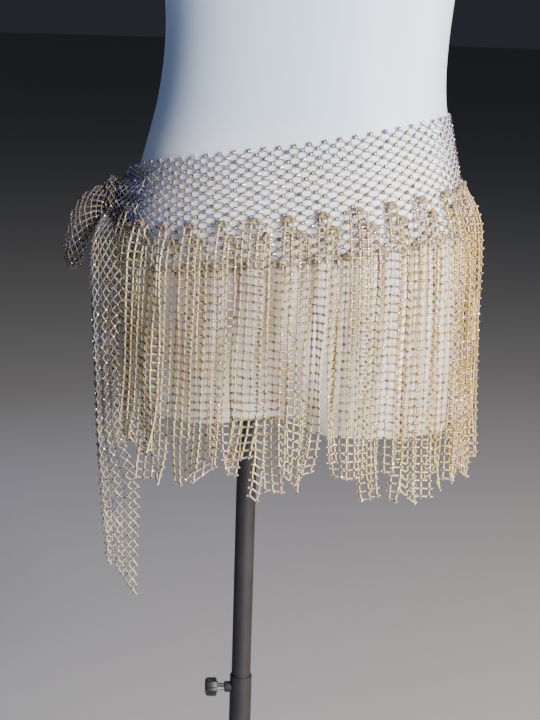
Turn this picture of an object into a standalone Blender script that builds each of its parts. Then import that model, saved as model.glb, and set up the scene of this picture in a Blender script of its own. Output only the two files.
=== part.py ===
"""A tied rhinestone-net hip belt on a limbless hip form with a telescopic stand.

Metres, +Z up. The wearer's front faces -Y and the wearer's left is +X. The origin
is on the floor, under the middle of the base plate. The belt is one wide net band
tied at the right hip, with two tie ends and three staggered rows of net strips.
"""

import random
from collections import namedtuple
from math import copysign, cos, exp, pi, radians, sin

import bmesh
import bpy
from mathutils import Matrix, Vector

# ---------------------------------------------------------------- driving sizes
MESH_GAP = 0.0003

# The hip form: one row for each measured level of its outline.
FormRow = namedtuple("FormRow", "height centre_x half_width front back cleft")
FORM_ROWS = (
    FormRow(0.700, 0.0440, 0.1570, 0.100, 0.098, 0.58),
    FormRow(0.740, 0.0420, 0.1600, 0.106, 0.108, 0.26),
    FormRow(0.790, 0.0400, 0.1620, 0.110, 0.118, 0.05),
    FormRow(0.840, 0.0400, 0.1615, 0.110, 0.122, 0.00),
    FormRow(0.890, 0.0390, 0.1590, 0.107, 0.115, 0.00),
    FormRow(0.940, 0.0415, 0.1465, 0.102, 0.102, 0.00),
    FormRow(1.000, 0.0430, 0.1330, 0.096, 0.088, 0.00),
    FormRow(1.060, 0.0455, 0.1305, 0.092, 0.084, 0.00),
    FormRow(1.150, 0.0465, 0.1390, 0.096, 0.090, 0.00),
)
FORM_SQUARENESS = 2.25
CLEFT_WIDTH = 0.24
BACK_CLEFT_SHARE = 0.6
FORM_STEPS = 72
FORM_BODY_RINGS = 15
FORM_RIM = 0.004
HANG_LEVEL = 0.835

# The band: a tilted ring of net, pulled narrow where it is tied.
BAND_CLEARANCE = 0.0008
BAND_WALL = 0.0015
BAND_MIDDLE = 0.960
BAND_TILT = 0.0275
BAND_HEIGHT = 0.106
BAND_LEVELS = 8
TIE_ANGLE = 195.0
TIE_SPREAD = 20.0
TIE_NARROWING = 0.62
TIE_DIP = 0.006
TIE_DIP_SPREAD = 14.0
PLEAT_CREST = 0.0014
PLEAT_SPREAD = 34.0

# The knot and its two ends, placed from the knot's middle.
KNOT_HEIGHT = 0.896
KNOT_HALF = Vector((0.010, 0.015, 0.021))
KNOT_CLEARANCE = 0.0009
KNOT_RIDGES = 3
KNOT_RIDGE = 0.07
KNOT_TWIST = 1.1
CLOTH_WALL = 0.0015

EndRow = namedtuple("EndRow", "outward rise radius")
END_ROWS = (
    EndRow(-0.002, 0.001, 0.0090),
    EndRow(0.007, 0.001, 0.0118),
    EndRow(0.016, -0.004, 0.0130),
    EndRow(0.024, -0.013, 0.0130),
    EndRow(0.030, -0.025, 0.0124),
    EndRow(0.034, -0.039, 0.0116),
    EndRow(0.037, -0.053, 0.0104),
    EndRow(0.039, -0.067, 0.0092),
)
END_SIDES = 20
END_FOLDS = 5
END_FOLD_DEPTH = 0.10
END_FLATNESS = 0.72

TailRow = namedtuple("TailRow", "across forward height width")
TAIL_ROWS = (
    TailRow(-0.1270, -0.043, 0.8860, 0.012),
    TailRow(-0.1262, -0.068, 0.8660, 0.016),
    TailRow(-0.1160, -0.088, 0.8360, 0.026),
    TailRow(-0.1040, -0.102, 0.7950, 0.035),
    TailRow(-0.0985, -0.105, 0.7400, 0.038),
    TailRow(-0.0955, -0.105, 0.6700, 0.038),
    TailRow(-0.0935, -0.105, 0.6150, 0.034),
    TailRow(-0.0915, -0.105, 0.5650, 0.028),
    TailRow(-0.0905, -0.105, 0.5350, 0.025),
)
TAIL_FACING = 10.0
TAIL_PLEATS = 3
TAIL_COLUMNS = 18
TAIL_PLEAT_SLOPE = 0.16
TAIL_HALF_SHIFT = 0.00085
TAIL_POINT_DROP = 0.034
TAIL_CUT_FROM = 0.600

# The fringe: three rows of hanging net strips on narrow backings.
FringeRow = namedtuple("FringeRow", "name depth layer cells lengths stagger")
FRINGE_ROWS = (
    FringeRow("fringe_upper", 0.0565, 0.0109, (1, 2, 1, 2, 1, 3, 1), (0.2265, 0.2405, 0.2315), 0.0),
    FringeRow("fringe_middle", 0.0705, 0.0081, (1, 2, 1, 2, 1), (0.2285, 0.2175, 0.2365), 1 / 3),
    FringeRow("fringe_lower", 0.0945, 0.0045, (1, 2), (0.2075, 0.2235, 0.2155, 0.2015), 2 / 3),
)
STRIPS_PER_ROW = 28
ROW_FIRST_ANGLE = 206.0
ROW_LAST_ANGLE = 546.0
FIRST_STRIP = 0.008
GIRTH_LEVEL = 0.88
BACKING_CLEARANCE = 0.0009
BACKING_WALL = 0.0015
BACKING_HEIGHT = 0.005
ROSETTE_WIDTH = 0.008
ROSETTE_OUT = 0.0045
ROSETTE_THICK = 0.0030
NET_CELL = 0.0076
NET_STUB = 0.0030
STRIP_THICK = 0.0014
STRIP_SWAY = 0.0022
LENGTH_SPREAD = 0.011
LENGTH_TILT = 0.034
STRIP_FLARE = 0.03
BULGE_OUT = 0.016
BULGE_ANGLE = 188.0
BULGE_SPREAD = 16.0
BULGE_DROP = 0.07

# The stand.
BASE_RADIUS = 0.160
BASE_THICK = 0.006
SLEEVE_RADIUS = 0.0112
SLEEVE_TOP = 0.408
MAST_RADIUS = 0.00975
MAST_BOTTOM = 0.220
FOOT_RADIUS = 0.030
FOOT_TOP = 0.024
BOSS_RADIUS = 0.0055
BOSS_START = 0.0090
BOSS_REACH = 0.0170
KNOB_HEIGHT = 0.3945
KNOB_DIRECTION = 200.0
KNOB_STEM_RADIUS = 0.0035
KNOB_STEM = 0.0075
KNOB_RADIUS = 0.0088
KNOB_THICK = 0.012
KNOB_LOBES = 6
KNOB_LOBE = 0.08
ROUND_SIDES = 24
BASE_SIDES = 64
SHARP_ANGLE = 40.0
SEED = 7


# ------------------------------------------------------------------ small tools
def clear_scene():
    """Remove every object, so that the model starts from nothing."""
    for old in list(bpy.data.objects):
        bpy.data.objects.remove(old, do_unlink=True)


def make_material(name, colour, roughness, metallic=0.0):
    """A Principled material in one plain colour."""
    material = bpy.data.materials.new(name)
    material.use_nodes = True
    shader = material.node_tree.nodes["Principled BSDF"]
    shader.inputs["Base Color"].default_value = (*colour, 1.0)
    shader.inputs["Roughness"].default_value = roughness
    shader.inputs["Metallic"].default_value = metallic
    return material


def finish_object(name, shape, material):
    """Turn a bmesh into a named object with outward faces and smooth shading."""
    bmesh.ops.recalc_face_normals(shape, faces=shape.faces)
    mesh = bpy.data.meshes.new(name)
    shape.to_mesh(mesh)
    shape.free()
    mesh.shade_smooth()
    mesh.set_sharp_from_angle(angle=radians(SHARP_ANGLE))
    if material:
        mesh.materials.append(material)
    made = bpy.data.objects.new(name, mesh)
    bpy.context.scene.collection.objects.link(made)
    return made


def add_quads(shape, first, second, closed):
    """Join two equal rows of vertices with quads."""
    count = len(first)
    for i in range(count if closed else count - 1):
        j = (i + 1) % count
        shape.faces.new((first[i], first[j], second[j], second[i]))


def close_with_fan(shape, ring, middle):
    """Close a ring with triangles to one middle point."""
    centre = shape.verts.new(middle)
    for i, vertex in enumerate(ring):
        shape.faces.new((vertex, ring[(i + 1) % len(ring)], centre))


def loft_rings(shape, rings):
    """Skin a list of closed rings of points, and return their vertices."""
    rows = [[shape.verts.new(point) for point in ring] for ring in rings]
    for first, second in zip(rows, rows[1:]):
        add_quads(shape, first, second, closed=True)
    return rows


def circle_points(radius, sides, height):
    """Points of a level circle about Z."""
    turns = [2 * pi * i / sides for i in range(sides)]
    return [Vector((radius * cos(turn), radius * sin(turn), height)) for turn in turns]


def blend_rows(rows, height):
    """Read a table of rows at a height between its levels, with a smooth curve through them."""
    levels = [row.height for row in rows]
    height = min(max(height, levels[0]), levels[-1])
    last = len(rows) - 1
    low = max(i for i in range(last) if levels[i] <= height)
    span = levels[low + 1] - levels[low]
    share = (height - levels[low]) / span

    def slope(i, name):
        before = max(i - 1, 0)
        after = min(i + 1, last)
        rise = getattr(rows[after], name) - getattr(rows[before], name)
        return rise / (levels[after] - levels[before])

    def read(name):
        start = getattr(rows[low], name)
        end = getattr(rows[low + 1], name)
        ease = share * share * (3 - 2 * share)
        lead = share * (1 - share) ** 2 * span * slope(low, name)
        trail = share * share * (share - 1) * span * slope(low + 1, name)
        return start + (end - start) * ease + lead + trail

    return type(rows[0])(*(read(name) for name in rows[0]._fields))


def bell(angle, middle, spread):
    """A smooth hump round one angle, in degrees, from 0 to 1."""
    away = (angle - middle + 180.0) % 360.0 - 180.0
    return exp(-((away / spread) ** 2))


# ------------------------------------------------------------------ the hip form
def outline_point(row, angle):
    """A point of the form's level outline, from a squared ellipse with a cleft."""
    turn = radians(angle)
    power = 2 / FORM_SQUARENESS
    across = row.half_width * copysign(abs(cos(turn)) ** power, cos(turn))
    front_side = sin(turn) < 0
    reach = row.front if front_side else row.back
    depth = reach * copysign(abs(sin(turn)) ** power, sin(turn))
    cleft = row.cleft * (1.0 if front_side else BACK_CLEFT_SHARE)
    cleft *= exp(-((across / row.half_width / CLEFT_WIDTH) ** 2))
    return row.centre_x + across, depth * (1 - cleft)


def form_frame(angle, height):
    """The form's surface point, and the level directions out of it and along it."""
    row = blend_rows(FORM_ROWS, height)
    step = 0.1
    before = outline_point(row, angle - step)
    after = outline_point(row, angle + step)
    along = Vector((after[0] - before[0], after[1] - before[1], 0.0)).normalized()
    out = Vector((along.y, -along.x, 0.0))
    x, y = outline_point(row, angle)
    return Vector((x, y, height)), out, along


def form_point(angle, height, out=0.0):
    """A point at a level distance outside the form."""
    point, outward, _ = form_frame(angle, height)
    return point + outward * out


def build_form(material):
    """The smooth solid form, from the thigh cut to just above the waist."""
    bottom = FORM_ROWS[0].height
    top = FORM_ROWS[-1].height
    body = top - bottom - 2 * FORM_RIM
    levels = [bottom + FORM_RIM + body * i / FORM_BODY_RINGS for i in range(FORM_BODY_RINGS + 1)]
    angles = [360.0 * i / FORM_STEPS for i in range(FORM_STEPS)]
    rings = [[form_point(a, level) for a in angles] for level in levels]
    rings.insert(0, [form_point(a, bottom, -FORM_RIM) for a in angles])
    rings.append([form_point(a, top, -FORM_RIM) for a in angles])
    shape = bmesh.new()
    rows = loft_rings(shape, rings)
    close_with_fan(shape, rows[0], (FORM_ROWS[0].centre_x, 0.0, bottom))
    close_with_fan(shape, rows[-1], (FORM_ROWS[-1].centre_x, 0.0, top))
    return finish_object("torso_form", shape, material)


# ---------------------------------------------------------------------- the band
def band_top(angle):
    """Height of the band's upper edge."""
    level = BAND_MIDDLE + BAND_TILT * cos(radians(angle))
    return level - TIE_DIP * bell(angle, TIE_ANGLE, TIE_DIP_SPREAD)


def band_level(angle, depth):
    """Height of a line of the band that lies depth below its upper edge in the flat."""
    pulled = 1 - TIE_NARROWING * bell(angle, TIE_ANGLE, TIE_SPREAD)
    return band_top(angle) - depth * pulled


def pleat_crest(angle):
    """How far the gathers stand out near the knot."""
    return PLEAT_CREST * bell(angle, TIE_ANGLE, PLEAT_SPREAD)


def build_band(material):
    """The closed net band, with level gathers that run into the knot."""
    shape = bmesh.new()
    angles = [360.0 * i / FORM_STEPS for i in range(FORM_STEPS)]
    skins = []
    for offset in (BAND_CLEARANCE, BAND_CLEARANCE + BAND_WALL):
        rings = []
        for level in range(BAND_LEVELS + 1):
            depth = BAND_HEIGHT * level / BAND_LEVELS
            crest = level % 2
            ring = [form_point(a, band_level(a, depth), offset + crest * pleat_crest(a)) for a in angles]
            rings.append(ring)
        skins.append(loft_rings(shape, rings))
    inner, outer = skins
    add_quads(shape, inner[0], outer[0], closed=True)
    add_quads(shape, inner[-1], outer[-1], closed=True)
    return finish_object("hip_band", shape, material)


# -------------------------------------------------------------- the knot and ends
def knot_frame():
    """The knot's middle, and the directions out of the hip and along it."""
    _, out, along = form_frame(TIE_ANGLE, KNOT_HEIGHT)
    seat = BAND_CLEARANCE + BAND_WALL + PLEAT_CREST + KNOT_CLEARANCE
    middle = form_point(TIE_ANGLE, KNOT_HEIGHT, seat + KNOT_HALF.x)
    return middle, out, along


def build_knot(name, material, swell=0.0, sides=20, levels=10):
    """The tied lump: an oval ball with wrapped ridges, larger by swell all round."""
    middle, out, along = knot_frame()
    half = KNOT_HALF + Vector((swell, swell, swell))
    up = Vector((0.0, 0.0, 1.0))
    rings = []
    for i in range(1, levels):
        tilt = pi * i / levels
        ring = []
        for j in range(sides):
            turn = 2 * pi * j / sides
            wrap = 1 + KNOT_RIDGE * cos(KNOT_RIDGES * turn + KNOT_TWIST * tilt) * sin(tilt)
            level = middle - out * (half.x * cos(tilt))
            side = along * (half.y * cos(turn)) + up * (half.z * sin(turn))
            ring.append(level + side * (sin(tilt) * wrap))
        rings.append(ring)
    shape = bmesh.new()
    rows = loft_rings(shape, rings)
    close_with_fan(shape, rows[0], middle - out * half.x)
    close_with_fan(shape, rows[-1], middle + out * half.x)
    return finish_object(name, shape, material)


def cut_clear(piece, cutter):
    """Trim a piece where it meets another, with that one's slightly larger hidden copy."""
    cut = piece.modifiers.new("clear_of_neighbour", "BOOLEAN")
    cut.operation = "DIFFERENCE"
    cut.solver = "EXACT"
    cut.object = cutter


def hide_cutter(cutter):
    """Keep a shape out of the model, as it only cuts others."""
    cutter.hide_render = True
    cutter.display_type = "WIRE"


def build_tie_end(material):
    """The short end: a drooping gathered tube with an open mouth."""
    middle, out, along = knot_frame()
    up = Vector((0.0, 0.0, 1.0))
    path = [middle + out * row.outward + up * row.rise for row in END_ROWS]
    skins = []
    shape = bmesh.new()
    for inset in (CLOTH_WALL, 0.0):
        rings = []
        for i, (centre, row) in enumerate(zip(path, END_ROWS)):
            before = path[max(i - 1, 0)]
            after = path[min(i + 1, len(path) - 1)]
            heading = (after - before).normalized()
            side = heading.cross(along).normalized()
            ring = []
            for j in range(END_SIDES):
                turn = 2 * pi * j / END_SIDES
                fold = 1 + END_FOLD_DEPTH * cos(END_FOLDS * turn)
                reach = row.radius * fold - inset
                flat = row.radius * END_FLATNESS * fold - inset
                ring.append(centre + side * (reach * cos(turn)) + along * (flat * sin(turn)))
            rings.append(ring)
        skins.append(loft_rings(shape, rings))
    inner, outer = skins
    add_quads(shape, inner[0], outer[0], closed=True)
    add_quads(shape, inner[-1], outer[-1], closed=True)
    return finish_object("tie_end", shape, material)


def tail_section(row, share, side):
    """A point across the long end's pleats: share 0 to 1, side -1 inside or 1 outside."""
    facing = radians(TAIL_FACING)
    across = Vector((cos(facing), sin(facing), 0.0))
    front = Vector((sin(facing), -cos(facing), 0.0))
    pleat = row.width / TAIL_PLEATS
    wave = TAIL_PLEAT_SLOPE * pleat * sin(2 * pi * TAIL_PLEATS * share)
    drop = TAIL_POINT_DROP * (share - 0.5) * min(1.0, max(0.0, (TAIL_CUT_FROM - row.height) / 0.07))
    centre = Vector((row.across, row.forward, row.height - drop))
    return centre + across * (row.width * (share - 0.5)) + front * (wave + side * TAIL_HALF_SHIFT)


def build_tail(material):
    """The long end: a pleated hanging wall, cut to a slanted point."""
    shape = bmesh.new()
    skins = []
    for side in (-1, 1):
        rows = []
        for row in TAIL_ROWS:
            points = [tail_section(row, i / TAIL_COLUMNS, side) for i in range(TAIL_COLUMNS + 1)]
            rows.append([shape.verts.new(point) for point in points])
        for first, second in zip(rows, rows[1:]):
            add_quads(shape, first, second, closed=False)
        skins.append(rows)
    inner, outer = skins
    add_quads(shape, inner[0], outer[0], closed=False)
    add_quads(shape, inner[-1], outer[-1], closed=False)
    for edge in (0, TAIL_COLUMNS):
        add_quads(shape, [row[edge] for row in inner], [row[edge] for row in outer], closed=False)
    return finish_object("tie_tail", shape, material)


# --------------------------------------------------------------------- the fringe
def girth_table():
    """Angles round the hips from one side of the knot to the other, with distances."""
    step = 0.5
    start = ROW_FIRST_ANGLE
    count = int((ROW_LAST_ANGLE - start) / step)
    table = [(0.0, start)]
    previous = form_point(start, GIRTH_LEVEL)
    for i in range(1, count + 1):
        angle = start + step * i
        point = form_point(angle, GIRTH_LEVEL)
        table.append((table[-1][0] + (point - previous).length, angle))
        previous = point
    return table


def angle_at(table, distance):
    """The angle at a distance along the girth."""
    distance = min(max(distance, 0.0), table[-1][0])
    for (near, first), (far, second) in zip(table, table[1:]):
        if distance <= far:
            return first + (second - first) * (distance - near) / (far - near)
    return table[-1][1]


def hanging_point(angle, height, out, loose):
    """A point of a hanging layer: straight down below the widest level, and out at the knot."""
    bulge = BULGE_OUT * bell(angle, BULGE_ANGLE, BULGE_SPREAD) * loose
    flare = STRIP_FLARE * max(0.0, HANG_LEVEL - height)
    place = form_point(angle, max(height, HANG_LEVEL), out + bulge + flare)
    place.z = height
    return place


def hanging_frame(angle, height, out, loose):
    """A hanging layer's point, and the level directions out of it and along it."""
    step = 1.0
    before = hanging_point(angle - step, height, out, loose)
    after = hanging_point(angle + step, height, out, loose)
    along = (after - before).normalized()
    outward = Vector((along.y, -along.x, 0.0))
    return hanging_point(angle, height, out, loose), outward, along


StripSection = namedtuple("StripSection", "drop out width thick")


def strip_sections(row, cells, length, base_out):
    """The levels of one strip: its rosette, its bend outward and its free length."""
    width = cells * NET_CELL + 2 * NET_STUB
    rosette = base_out + ROSETTE_OUT
    layer = base_out + row.layer
    return (
        StripSection(0.0015, rosette, ROSETTE_WIDTH, ROSETTE_THICK),
        StripSection(0.0065, rosette, ROSETTE_WIDTH * 0.9, ROSETTE_THICK),
        StripSection(0.0120, layer, width * 0.85, STRIP_THICK),
        StripSection(0.0360, layer, width, STRIP_THICK),
        StripSection(0.0850, layer, width, STRIP_THICK),
        StripSection(length, layer, width, STRIP_THICK),
    )


def add_strip(shape, root, angle, top, sections, sway):
    """Grow one four-sided strip from four vertices of its backing's lower edge."""
    previous = root
    for section in sections:
        height = top - section.drop
        loose = min(1.0, section.drop / BULGE_DROP)
        place, outward, along = hanging_frame(angle, height, section.out, loose)
        place += along * (sway * section.drop / sections[-1].drop)
        half = along * (section.width / 2)
        thick = outward * section.thick
        corners = (place - half + thick, place + half + thick, place + half, place - half)
        ring = [shape.verts.new(corner) for corner in corners]
        add_quads(shape, previous, ring, closed=True)
        previous = ring
    shape.faces.new(previous)


def build_fringe(row, table, material, chance):
    """One row of strips on its own narrow backing."""
    reach = table[-1][0]
    pitch = (reach - 2 * FIRST_STRIP) / (STRIPS_PER_ROW - 1 / 3)
    middles = [FIRST_STRIP + pitch * (i + row.stagger) for i in range(STRIPS_PER_ROW)]
    stops = [(0.0, None)]
    for i, middle in enumerate(middles):
        stops.append((middle - ROSETTE_WIDTH / 2, i))
        stops.append((middle + ROSETTE_WIDTH / 2, None))
        between = middle + pitch / 2
        if between < reach - ROSETTE_WIDTH / 2:
            stops.append((between, None))
    stops.append((reach, None))

    base_out = BAND_CLEARANCE + BAND_WALL
    half = BACKING_HEIGHT / 2
    shape = bmesh.new()
    columns = []
    for distance, _ in stops:
        angle = angle_at(table, distance)
        seat = base_out + pleat_crest(angle) + BACKING_CLEARANCE
        middle_height = band_level(angle, row.depth)
        corners = [
            form_point(angle, middle_height + rise, out)
            for rise, out in (
                (half, seat),
                (half, seat + BACKING_WALL),
                (-half, seat + BACKING_WALL),
                (-half, seat),
            )
        ]
        columns.append([shape.verts.new(corner) for corner in corners])
    for first, second, (_, strip) in zip(columns, columns[1:], stops):
        for side in range(4):
            is_lower_edge = side == 2
            if is_lower_edge and strip is not None:
                continue
            other = (side + 1) % 4
            shape.faces.new((first[side], first[other], second[other], second[side]))
        if strip is None:
            continue
        angle = angle_at(table, middles[strip])
        cells = row.cells[strip % len(row.cells)]
        length = row.lengths[strip % len(row.lengths)] + chance.uniform(-LENGTH_SPREAD, LENGTH_SPREAD)
        length += LENGTH_TILT * cos(radians(angle))
        sway = chance.uniform(-STRIP_SWAY, STRIP_SWAY)
        top = band_level(angle, row.depth) - half
        sections = strip_sections(row, cells, length, pleat_crest(angle))
        add_strip(shape, (first[2], second[2], second[3], first[3]), angle, top, sections, sway)
    shape.faces.new(columns[0])
    shape.faces.new(columns[-1])
    return finish_object(row.name, shape, material)


# ---------------------------------------------------------------------- the stand
def build_turned(name, profile, sides, material):
    """A solid turned about Z from (radius, height) pairs, closed at both ends."""
    shape = bmesh.new()
    rows = loft_rings(shape, [circle_points(radius, sides, height) for radius, height in profile])
    close_with_fan(shape, rows[0], (0.0, 0.0, profile[0][1]))
    close_with_fan(shape, rows[-1], (0.0, 0.0, profile[-1][1]))
    return finish_object(name, shape, material)


def build_tube(name, profile, sides, material):
    """A ring turned about Z from a closed profile of (radius, height) pairs."""
    shape = bmesh.new()
    rows = loft_rings(shape, [circle_points(radius, sides, height) for radius, height in profile])
    add_quads(shape, rows[-1], rows[0], closed=True)
    return finish_object(name, shape, material)


def build_stand(black, knob_black):
    """Base plate, outer sleeve, clamp boss and knob, and the sliding mast, which it returns."""
    edge = 0.0015
    base = (
        (BASE_RADIUS - edge, 0.0),
        (BASE_RADIUS, edge),
        (BASE_RADIUS, BASE_THICK - edge),
        (BASE_RADIUS - edge, BASE_THICK),
    )
    build_turned("base_plate", base, BASE_SIDES, black)

    foot = BASE_THICK + MESH_GAP
    bore = MAST_RADIUS + MESH_GAP
    sleeve = (
        (bore, foot),
        (FOOT_RADIUS, foot),
        (FOOT_RADIUS, foot + 0.004),
        (SLEEVE_RADIUS + 0.002, FOOT_TOP),
        (SLEEVE_RADIUS, FOOT_TOP + 0.003),
        (SLEEVE_RADIUS, SLEEVE_TOP),
        (bore, SLEEVE_TOP),
    )
    build_tube("mast_sleeve", sleeve, ROUND_SIDES, black)

    boss = build_boss(black)
    seat = build_tube_cutter(foot)
    cut_clear(boss, seat)

    mast_top = FORM_ROWS[0].height - MESH_GAP
    mast = ((MAST_RADIUS, MAST_BOTTOM), (MAST_RADIUS, mast_top))
    build_knob(knob_black)
    return build_turned("mast", mast, ROUND_SIDES, black)


def turned_on_screw(profile):
    """A solid turned about the clamp screw's level axis, from (distance, radius, lobe) rows."""
    heading = radians(KNOB_DIRECTION)
    axis = Vector((cos(heading), sin(heading), 0.0))
    side = Vector((-sin(heading), cos(heading), 0.0))
    up = Vector((0.0, 0.0, 1.0))
    base = Vector((0.0, 0.0, KNOB_HEIGHT))
    rings = []
    for distance, radius, lobe in profile:
        ring = []
        for i in range(ROUND_SIDES):
            turn = 2 * pi * i / ROUND_SIDES
            reach = radius * (1 + lobe * cos(KNOB_LOBES * turn))
            spoke = side * (reach * cos(turn)) + up * (reach * sin(turn))
            ring.append(base + axis * distance + spoke)
        rings.append(ring)
    shape = bmesh.new()
    rows = loft_rings(shape, rings)
    close_with_fan(shape, rows[0], base + axis * profile[0][0])
    close_with_fan(shape, rows[-1], base + axis * profile[-1][0])
    return shape, base + axis * profile[0][0]


def build_boss(material):
    """The threaded boss that the clamp screw runs through, welded on the sleeve's side."""
    edge = 0.0008
    profile = (
        (BOSS_START, BOSS_RADIUS, 0.0),
        (BOSS_REACH - edge, BOSS_RADIUS, 0.0),
        (BOSS_REACH, BOSS_RADIUS - edge, 0.0),
    )
    shape, _ = turned_on_screw(profile)
    return finish_object("clamp_boss", shape, material)


def build_tube_cutter(bottom):
    """A hidden cylinder that hollows the boss to sit round the sleeve."""
    profile = ((SLEEVE_RADIUS + MESH_GAP, bottom), (SLEEVE_RADIUS + MESH_GAP, SLEEVE_TOP))
    cutter = build_turned("sleeve_cutter", profile, ROUND_SIDES, None)
    hide_cutter(cutter)
    return cutter


def build_knob(material):
    """The clamp screw's lobed head and stem, with its origin on the screw's axis."""
    start = BOSS_REACH + MESH_GAP
    head = start + KNOB_STEM
    profile = (
        (start, KNOB_STEM_RADIUS, 0.0),
        (head, KNOB_STEM_RADIUS, 0.0),
        (head, KNOB_RADIUS - 0.001, KNOB_LOBE),
        (head + 0.001, KNOB_RADIUS, KNOB_LOBE),
        (head + KNOB_THICK - 0.002, KNOB_RADIUS, KNOB_LOBE),
        (head + KNOB_THICK, KNOB_RADIUS - 0.002, KNOB_LOBE),
    )
    shape, root = turned_on_screw(profile)
    knob = finish_object("clamp_knob", shape, material)
    knob.data.transform(Matrix.Translation(-root))
    knob.location = root
    return knob


def carry(name, place, pieces):
    """Parent pieces to an empty that stands for what moves them."""
    holder = bpy.data.objects.new(name, None)
    holder.location = place
    bpy.context.scene.collection.objects.link(holder)
    for piece in pieces:
        piece.parent = holder
        piece.matrix_parent_inverse = Matrix.Translation(-Vector(place))


def build_all():
    """Make every piece of the belt and of what it stands on."""
    clear_scene()
    white = make_material("form_white", (0.86, 0.86, 0.88), 0.55)
    black = make_material("stand_black", (0.02, 0.02, 0.022), 0.35, 0.6)
    knob_black = make_material("knob_black", (0.03, 0.03, 0.03), 0.5)
    net = make_material("gold_net", (0.78, 0.66, 0.50), 0.4, 0.3)
    strips = make_material("gold_strips", (0.80, 0.69, 0.54), 0.4, 0.3)

    mast = build_stand(black, knob_black)
    form = build_form(white)
    band = build_band(net)
    knot = build_knot("tie_knot", net)
    cutter = build_knot("knot_cutter", net, swell=MESH_GAP)
    hide_cutter(cutter)
    end = build_tie_end(net)
    tail = build_tail(net)
    cut_clear(end, cutter)
    cut_clear(tail, cutter)

    chance = random.Random(SEED)
    table = girth_table()
    fringe = [build_fringe(row, table, strips, chance) for row in FRINGE_ROWS]
    carry("height_slide", (0.0, 0.0, SLEEVE_TOP), [mast, form, band, knot, end, tail, cutter, *fringe])


build_all()
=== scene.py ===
# %% [markdown]
# # A tied net hip belt on its hip form
#
# This lesson dresses a rigid CAD model of a belly dance hip belt: one wide band
# of stoned net tied at the hip, two tie ends, and three rows of hanging net
# strips. The model is loaded first and never moved. Every visible piece is then
# built around it, so that the cloth, the form and the stand keep their real sizes.
# Lengths are in metres, and angles round the form are in degrees.

# %% Load the fixed frame
import random
from collections import namedtuple
from math import copysign, cos, exp, pi, radians, sin, sqrt

import bmesh
import bpy
from mathutils import Matrix, Vector


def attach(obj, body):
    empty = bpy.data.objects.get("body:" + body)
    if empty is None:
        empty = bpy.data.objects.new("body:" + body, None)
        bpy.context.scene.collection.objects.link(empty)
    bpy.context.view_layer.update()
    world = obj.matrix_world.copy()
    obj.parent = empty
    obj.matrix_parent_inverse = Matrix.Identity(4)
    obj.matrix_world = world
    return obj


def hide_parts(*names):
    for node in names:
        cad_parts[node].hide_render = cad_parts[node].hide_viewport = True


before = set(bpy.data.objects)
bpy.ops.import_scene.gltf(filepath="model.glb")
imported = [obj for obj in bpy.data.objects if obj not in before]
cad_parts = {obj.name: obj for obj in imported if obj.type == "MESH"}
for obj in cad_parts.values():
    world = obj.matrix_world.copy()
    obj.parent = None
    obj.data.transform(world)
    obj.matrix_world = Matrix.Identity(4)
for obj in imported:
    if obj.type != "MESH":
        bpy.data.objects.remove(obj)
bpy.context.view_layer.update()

print("nodes:", sorted(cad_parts))

# %% [markdown]
# ## Camera
#
# A hip belt is usually shown from a little above and a little to one side, so
# that the band's slope and the knot both read. A long lens from 1.4 m keeps the
# hanging strips parallel. The camera's axes are written out as vectors, because
# the slight tilt about the line of sight is then one more rotation of two axes.

# %% Place the camera
VIEW_TURN = 15.0
VIEW_RISE = 14.0
VIEW_TILT = 1.8
VIEW_DISTANCE = 1.4
VIEW_TARGET = Vector((0.0205, 0.0, 0.744))
LENS_MM = 72.1
SENSOR_MM = 36.0


def add_object(name, data):
    """An object with this mesh, lamp or lens, placed in the scene."""
    made = bpy.data.objects.new(name, data)
    bpy.context.scene.collection.objects.link(made)
    return made


def place_camera():
    """A camera that looks at the target from a turn and a rise, both in degrees."""
    turn, rise, tilt = radians(VIEW_TURN), radians(VIEW_RISE), radians(VIEW_TILT)
    back = Vector((sin(turn) * cos(rise), -cos(turn) * cos(rise), sin(rise)))
    level = Vector((cos(turn), sin(turn), 0.0))
    upright = back.cross(level)
    right = level * cos(tilt) + upright * sin(tilt)
    up = upright * cos(tilt) - level * sin(tilt)
    lens = bpy.data.cameras.new("studio_camera")
    lens.lens = LENS_MM
    lens.sensor_width = SENSOR_MM
    camera = add_object("studio_camera", lens)
    axes = Matrix((right, up, back)).transposed().to_4x4()
    camera.matrix_world = Matrix.Translation(VIEW_TARGET + back * VIEW_DISTANCE) @ axes
    bpy.context.scene.camera = camera
    return camera


camera = place_camera()
print("camera at", tuple(round(v, 3) for v in camera.location))

# %% [markdown]
# ## Studio
#
# Stones and metallic yarn only look alive when they mirror something, so the
# studio has six soft panels in place of one bright lamp: a nearly white key from
# the wearer's left, a low one near it, an orange side light further round, a blue
# fill from the other side, a faint blue-violet edge from behind and a pale one
# overhead. The floor is a plain pale disc that belongs to the stage.

# %% Floor, world and lights
FLOOR_RADIUS = 40.0
FLOOR_SIDES = 96
FLOOR_COLOUR = (0.55, 0.55, 0.56)
FLOOR_ROUGHNESS = 0.7
WORLD_COLOUR = (0.50, 0.55, 0.66)
WORLD_STRENGTH = 0.045
LOOK_AT = Vector((0.04, 0.0, 0.85))
Panel = namedtuple("Panel", "name place width power colour")
PANELS = (
    Panel("key", (2.2, -1.6, 1.8), 0.9, 164.0, (1.0, 0.985, 0.97)),
    Panel("near", (1.30, -1.25, 0.72), 0.6, 20.0, (1.0, 0.98, 0.96)),
    Panel("warm_side", (2.3, 0.5, 1.1), 0.6, 34.0, (1.0, 0.72, 0.40)),
    Panel("fill", (-1.4, -2.3, 1.2), 0.9, 7.5, (0.13, 0.33, 1.0)),
    Panel("edge", (-1.2, 1.9, 1.4), 0.7, 5.0, (0.50, 0.55, 1.0)),
    Panel("top", (0.6, -0.4, 2.9), 1.0, 4.0, (0.80, 0.90, 1.0)),
)


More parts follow.
